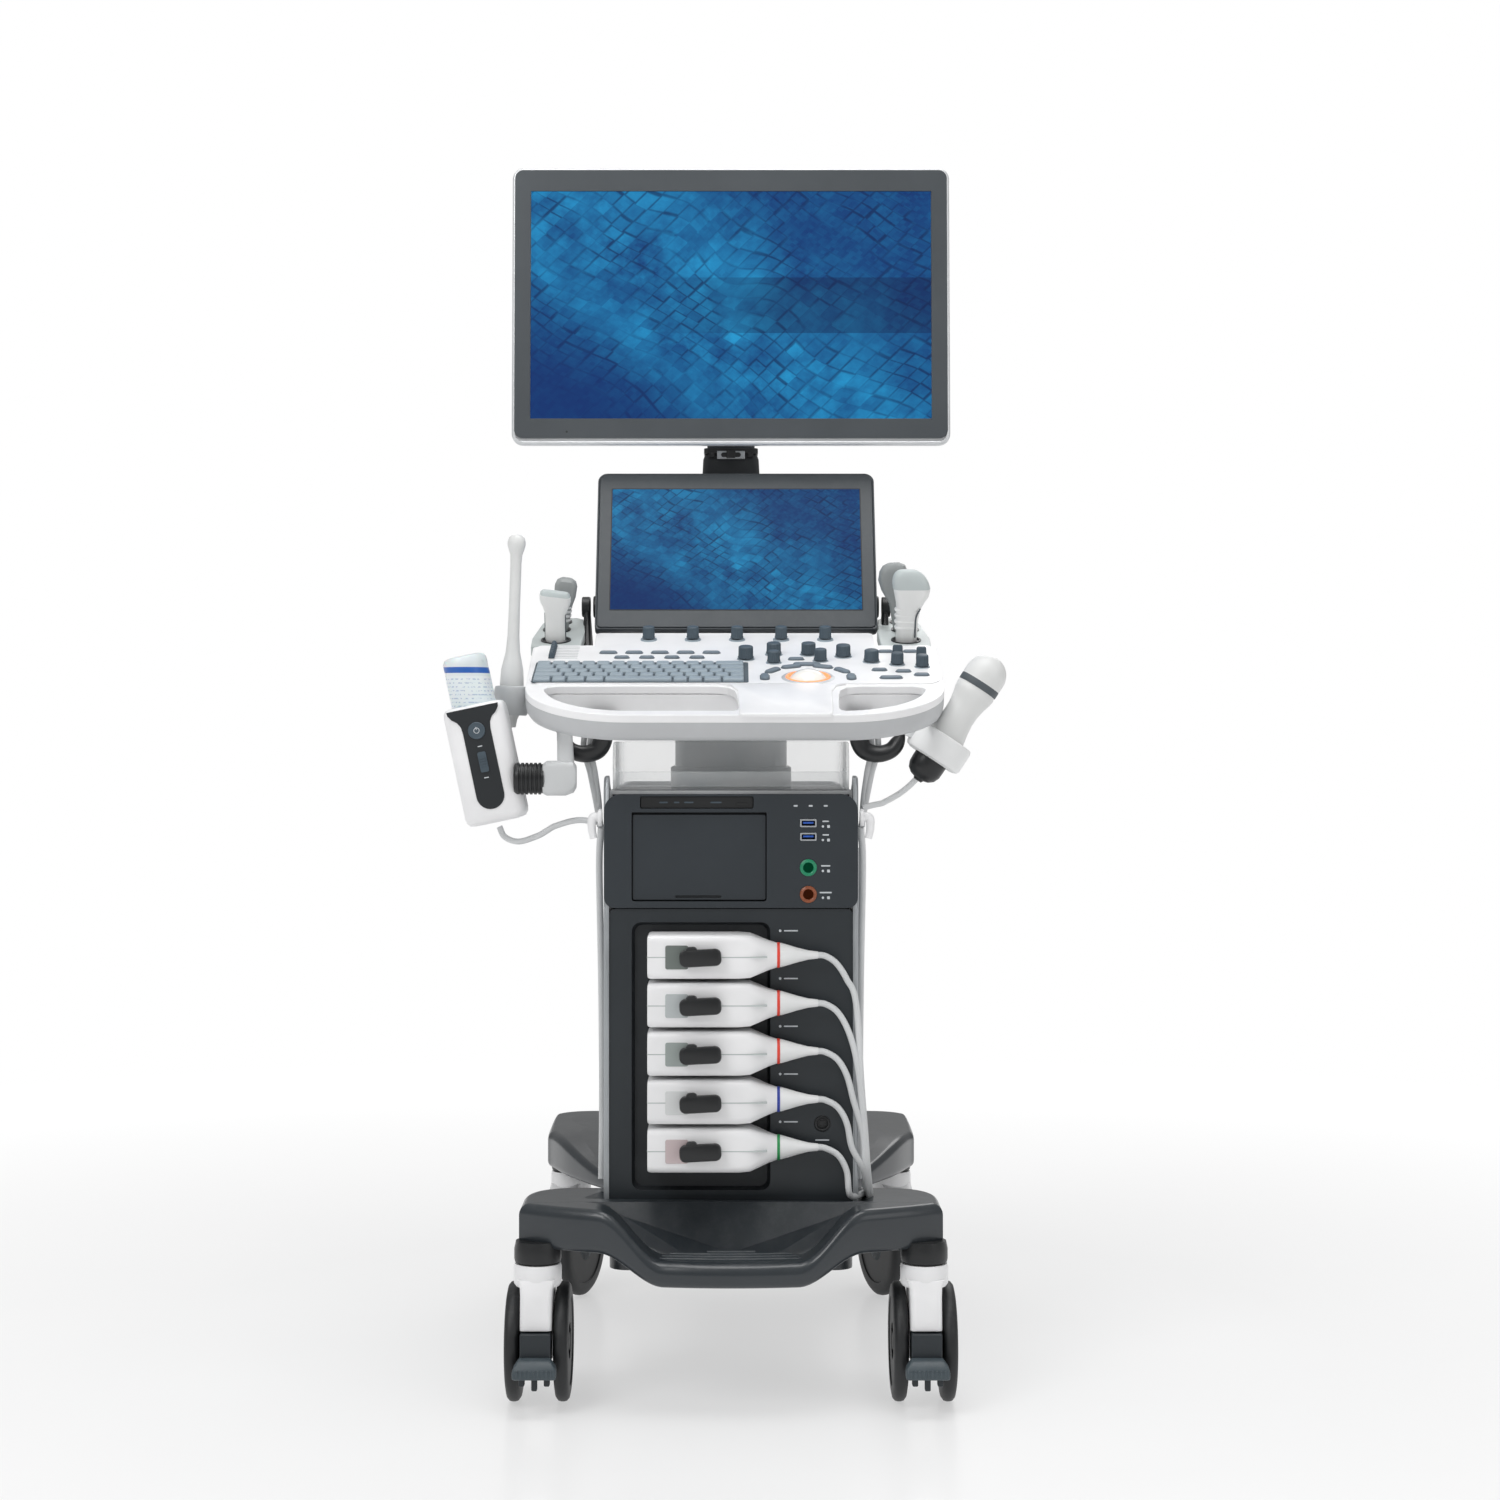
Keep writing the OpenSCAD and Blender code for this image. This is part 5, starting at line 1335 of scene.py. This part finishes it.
def add_span(name, points, steps, radius):
    """A cable between two bodies, drawn as a tube along a curve; it rides on no body."""
    bm = bmesh.new()
    add_tube(bm, spline(points, steps), radius, 12)
    cable = finish_mesh(name, bm, None, CABLE)
    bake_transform(cable)


def build_span_cables():
    """Cables from the console to the cart, each in two lengths that meet at a point on the lift column."""
    for side, tag in zip(SIDES, "lr"):
        for k, dy in enumerate((-8, 6)):
            dx = side * 7 * k
            mid = (side * 147 + dx * 0.7, -224, 664)
            add_span("probe_cable_top_%s%d" % (tag, k),
                     [(side * 150 + dx, -222, 712), (side * 152 + dx, -222, 690), mid], 10, 3.4)
            add_span("probe_cable_low_%s%d" % (tag, k),
                     [mid, (side * 143 + dx * 0.4, -225, 634), (side * 141, -226 + dy, 606)], 10, 3.4)
    loops = {"warmer": ([(-249, -236, 606), (-243, -237, 595), (-228, -238, 590), (-208, -238, 596)],
                        [(-188, -238, 607), (-165, -239, 613), (-141, -242, 611)]),
             "cup": ([(202, -235, 660), (192, -235, 650), (182, -235, 642), (172, -235, 636)],
                     [(162, -235, 631), (152, -236, 629), (141, -238, 626)])}
    for name, (first, second) in loops.items():
        mid = [(p + q) / 2 for p, q in zip(first[-1], second[0])]
        add_span(name + "_cable_top", first + [mid], 8, 3.3)
        add_span(name + "_cable_low", [mid] + second, 8, 3.3)


# ---------------------------------------------------------------- inside the cabinet

def dress_cad():
    """CAD nodes whose shape is right keep their mesh and get a finish."""
    for node, mat in (("cabinet_frame", LIGHT_GREY), ("power_supply", METAL), ("engine_boards", CIRCUIT)):
        mesh = frame["nodes"][node].data
        mesh.materials.clear()
        mesh.materials.append(mat)


# ---------------------------------------------------------------- floor, light and camera

def build_stage():
    """A pale floor that melts into a white backdrop, and soft lamps from above."""
    n = Nodes("studio_floor")
    away = n.add("ShaderNodeVectorMath", _operation="LENGTH")
    n.put(away.inputs[0], n.place())
    far = n.math("ADD", n.times(n.ramp(away.outputs["Value"], 0.7, 2.6), 0.5), 0.5)
    near = n.mix(n.noise(3), (0.86, 0.86, 0.865, 1), (0.9, 0.9, 0.9, 1))
    n.finish(Base_Color=n.mix(far, near, (0, 0, 0, 1)), Emission_Color=(1, 1, 1, 1), Emission_Strength=far,
             Roughness=0.22, Specular_IOR_Level=n.times(n.math("SUBTRACT", 1.0, far), 0.4))
    bm = bmesh.new()
    bmesh.ops.create_grid(bm, x_segments=1, y_segments=1, size=30000, matrix=shift((0, 0, -0.5)))
    finish_mesh("floor", bm, None, n.mat)

    world = bpy.data.worlds.new("studio")
    bpy.context.scene.world = world
    world.use_nodes = True
    tree = world.node_tree
    plain = tree.nodes["Background"]
    plain.inputs["Color"].default_value = (1, 1, 1, 1)
    soft = tree.nodes.new("ShaderNodeBackground")
    xyz = tree.nodes.new("ShaderNodeSeparateXYZ")
    tree.links.new(tree.nodes.new("ShaderNodeTexCoord").outputs["Generated"], xyz.inputs[0])
    height = tree.nodes.new("ShaderNodeMapRange")
    for key, value in (("From Min", -0.3), ("From Max", 0.9), ("To Min", 0.22), ("To Max", 0.66)):
        height.inputs[key].default_value = value
    tree.links.new(xyz.outputs["Z"], height.inputs["Value"])
    tree.links.new(height.outputs["Result"], soft.inputs["Strength"])
    blend = tree.nodes.new("ShaderNodeMixShader")
    tree.links.new(tree.nodes.new("ShaderNodeLightPath").outputs["Is Camera Ray"], blend.inputs[0])
    tree.links.new(soft.outputs[0], blend.inputs[1])
    tree.links.new(plain.outputs[0], blend.inputs[2])
    tree.links.new(blend.outputs[0], tree.nodes["World Output"].inputs["Surface"])

    lamps = (("key", (-1.7, -2.3, 2.7), (0, 0, 0.8), 1.3, 32),
             ("fill", (2.4, -2.2, 1.5), (0, 0, 0.7), 1.6, 9),
             ("top", (0.1, -0.5, 3.1), (0, -0.1, 0.6), 1.6, 34),
             ("back", (0.8, 2.4, 2.4), (0, 0, 0.9), 1.6, 18))
    for name, at, target, size, power in lamps:
        lamp = bpy.data.lights.new(name, "AREA")
        lamp.energy, lamp.size = power, size
        obj = bpy.data.objects.new(name, lamp)
        bpy.context.scene.collection.objects.link(obj)
        obj.location = at
        obj.rotation_euler = (Vector(target) - Vector(at)).to_track_quat("-Z", "Y").to_euler()


def build_camera():
    cam = bpy.data.cameras.new("camera")
    cam.sensor_width, cam.lens = 36, 62.93
    cam.shift_x, cam.shift_y = 0.01267, -0.01467
    obj = bpy.data.objects.new("camera", cam)
    bpy.context.scene.collection.objects.link(obj)
    obj.location = (0, -3.055, 0.712)
    obj.rotation_euler = (math.radians(90), 0, 0)
    bpy.context.scene.camera = obj
    bpy.context.scene.view_settings.view_transform = "Standard"


for build in (build_base, build_mat, build_casters, build_sides, build_fascias, build_fittings,
              build_door, build_rear, build_connectors, build_cart_cables, build_tray,
              build_column, build_deck, build_shell, build_keys, build_buttons, build_knobs,
              build_sliders, build_trackball, build_touch, build_monitor, build_arm, build_holders,
              build_hooks, build_warmer, build_probes, build_span_cables, dress_cad, build_stage,
              build_camera):
    build()
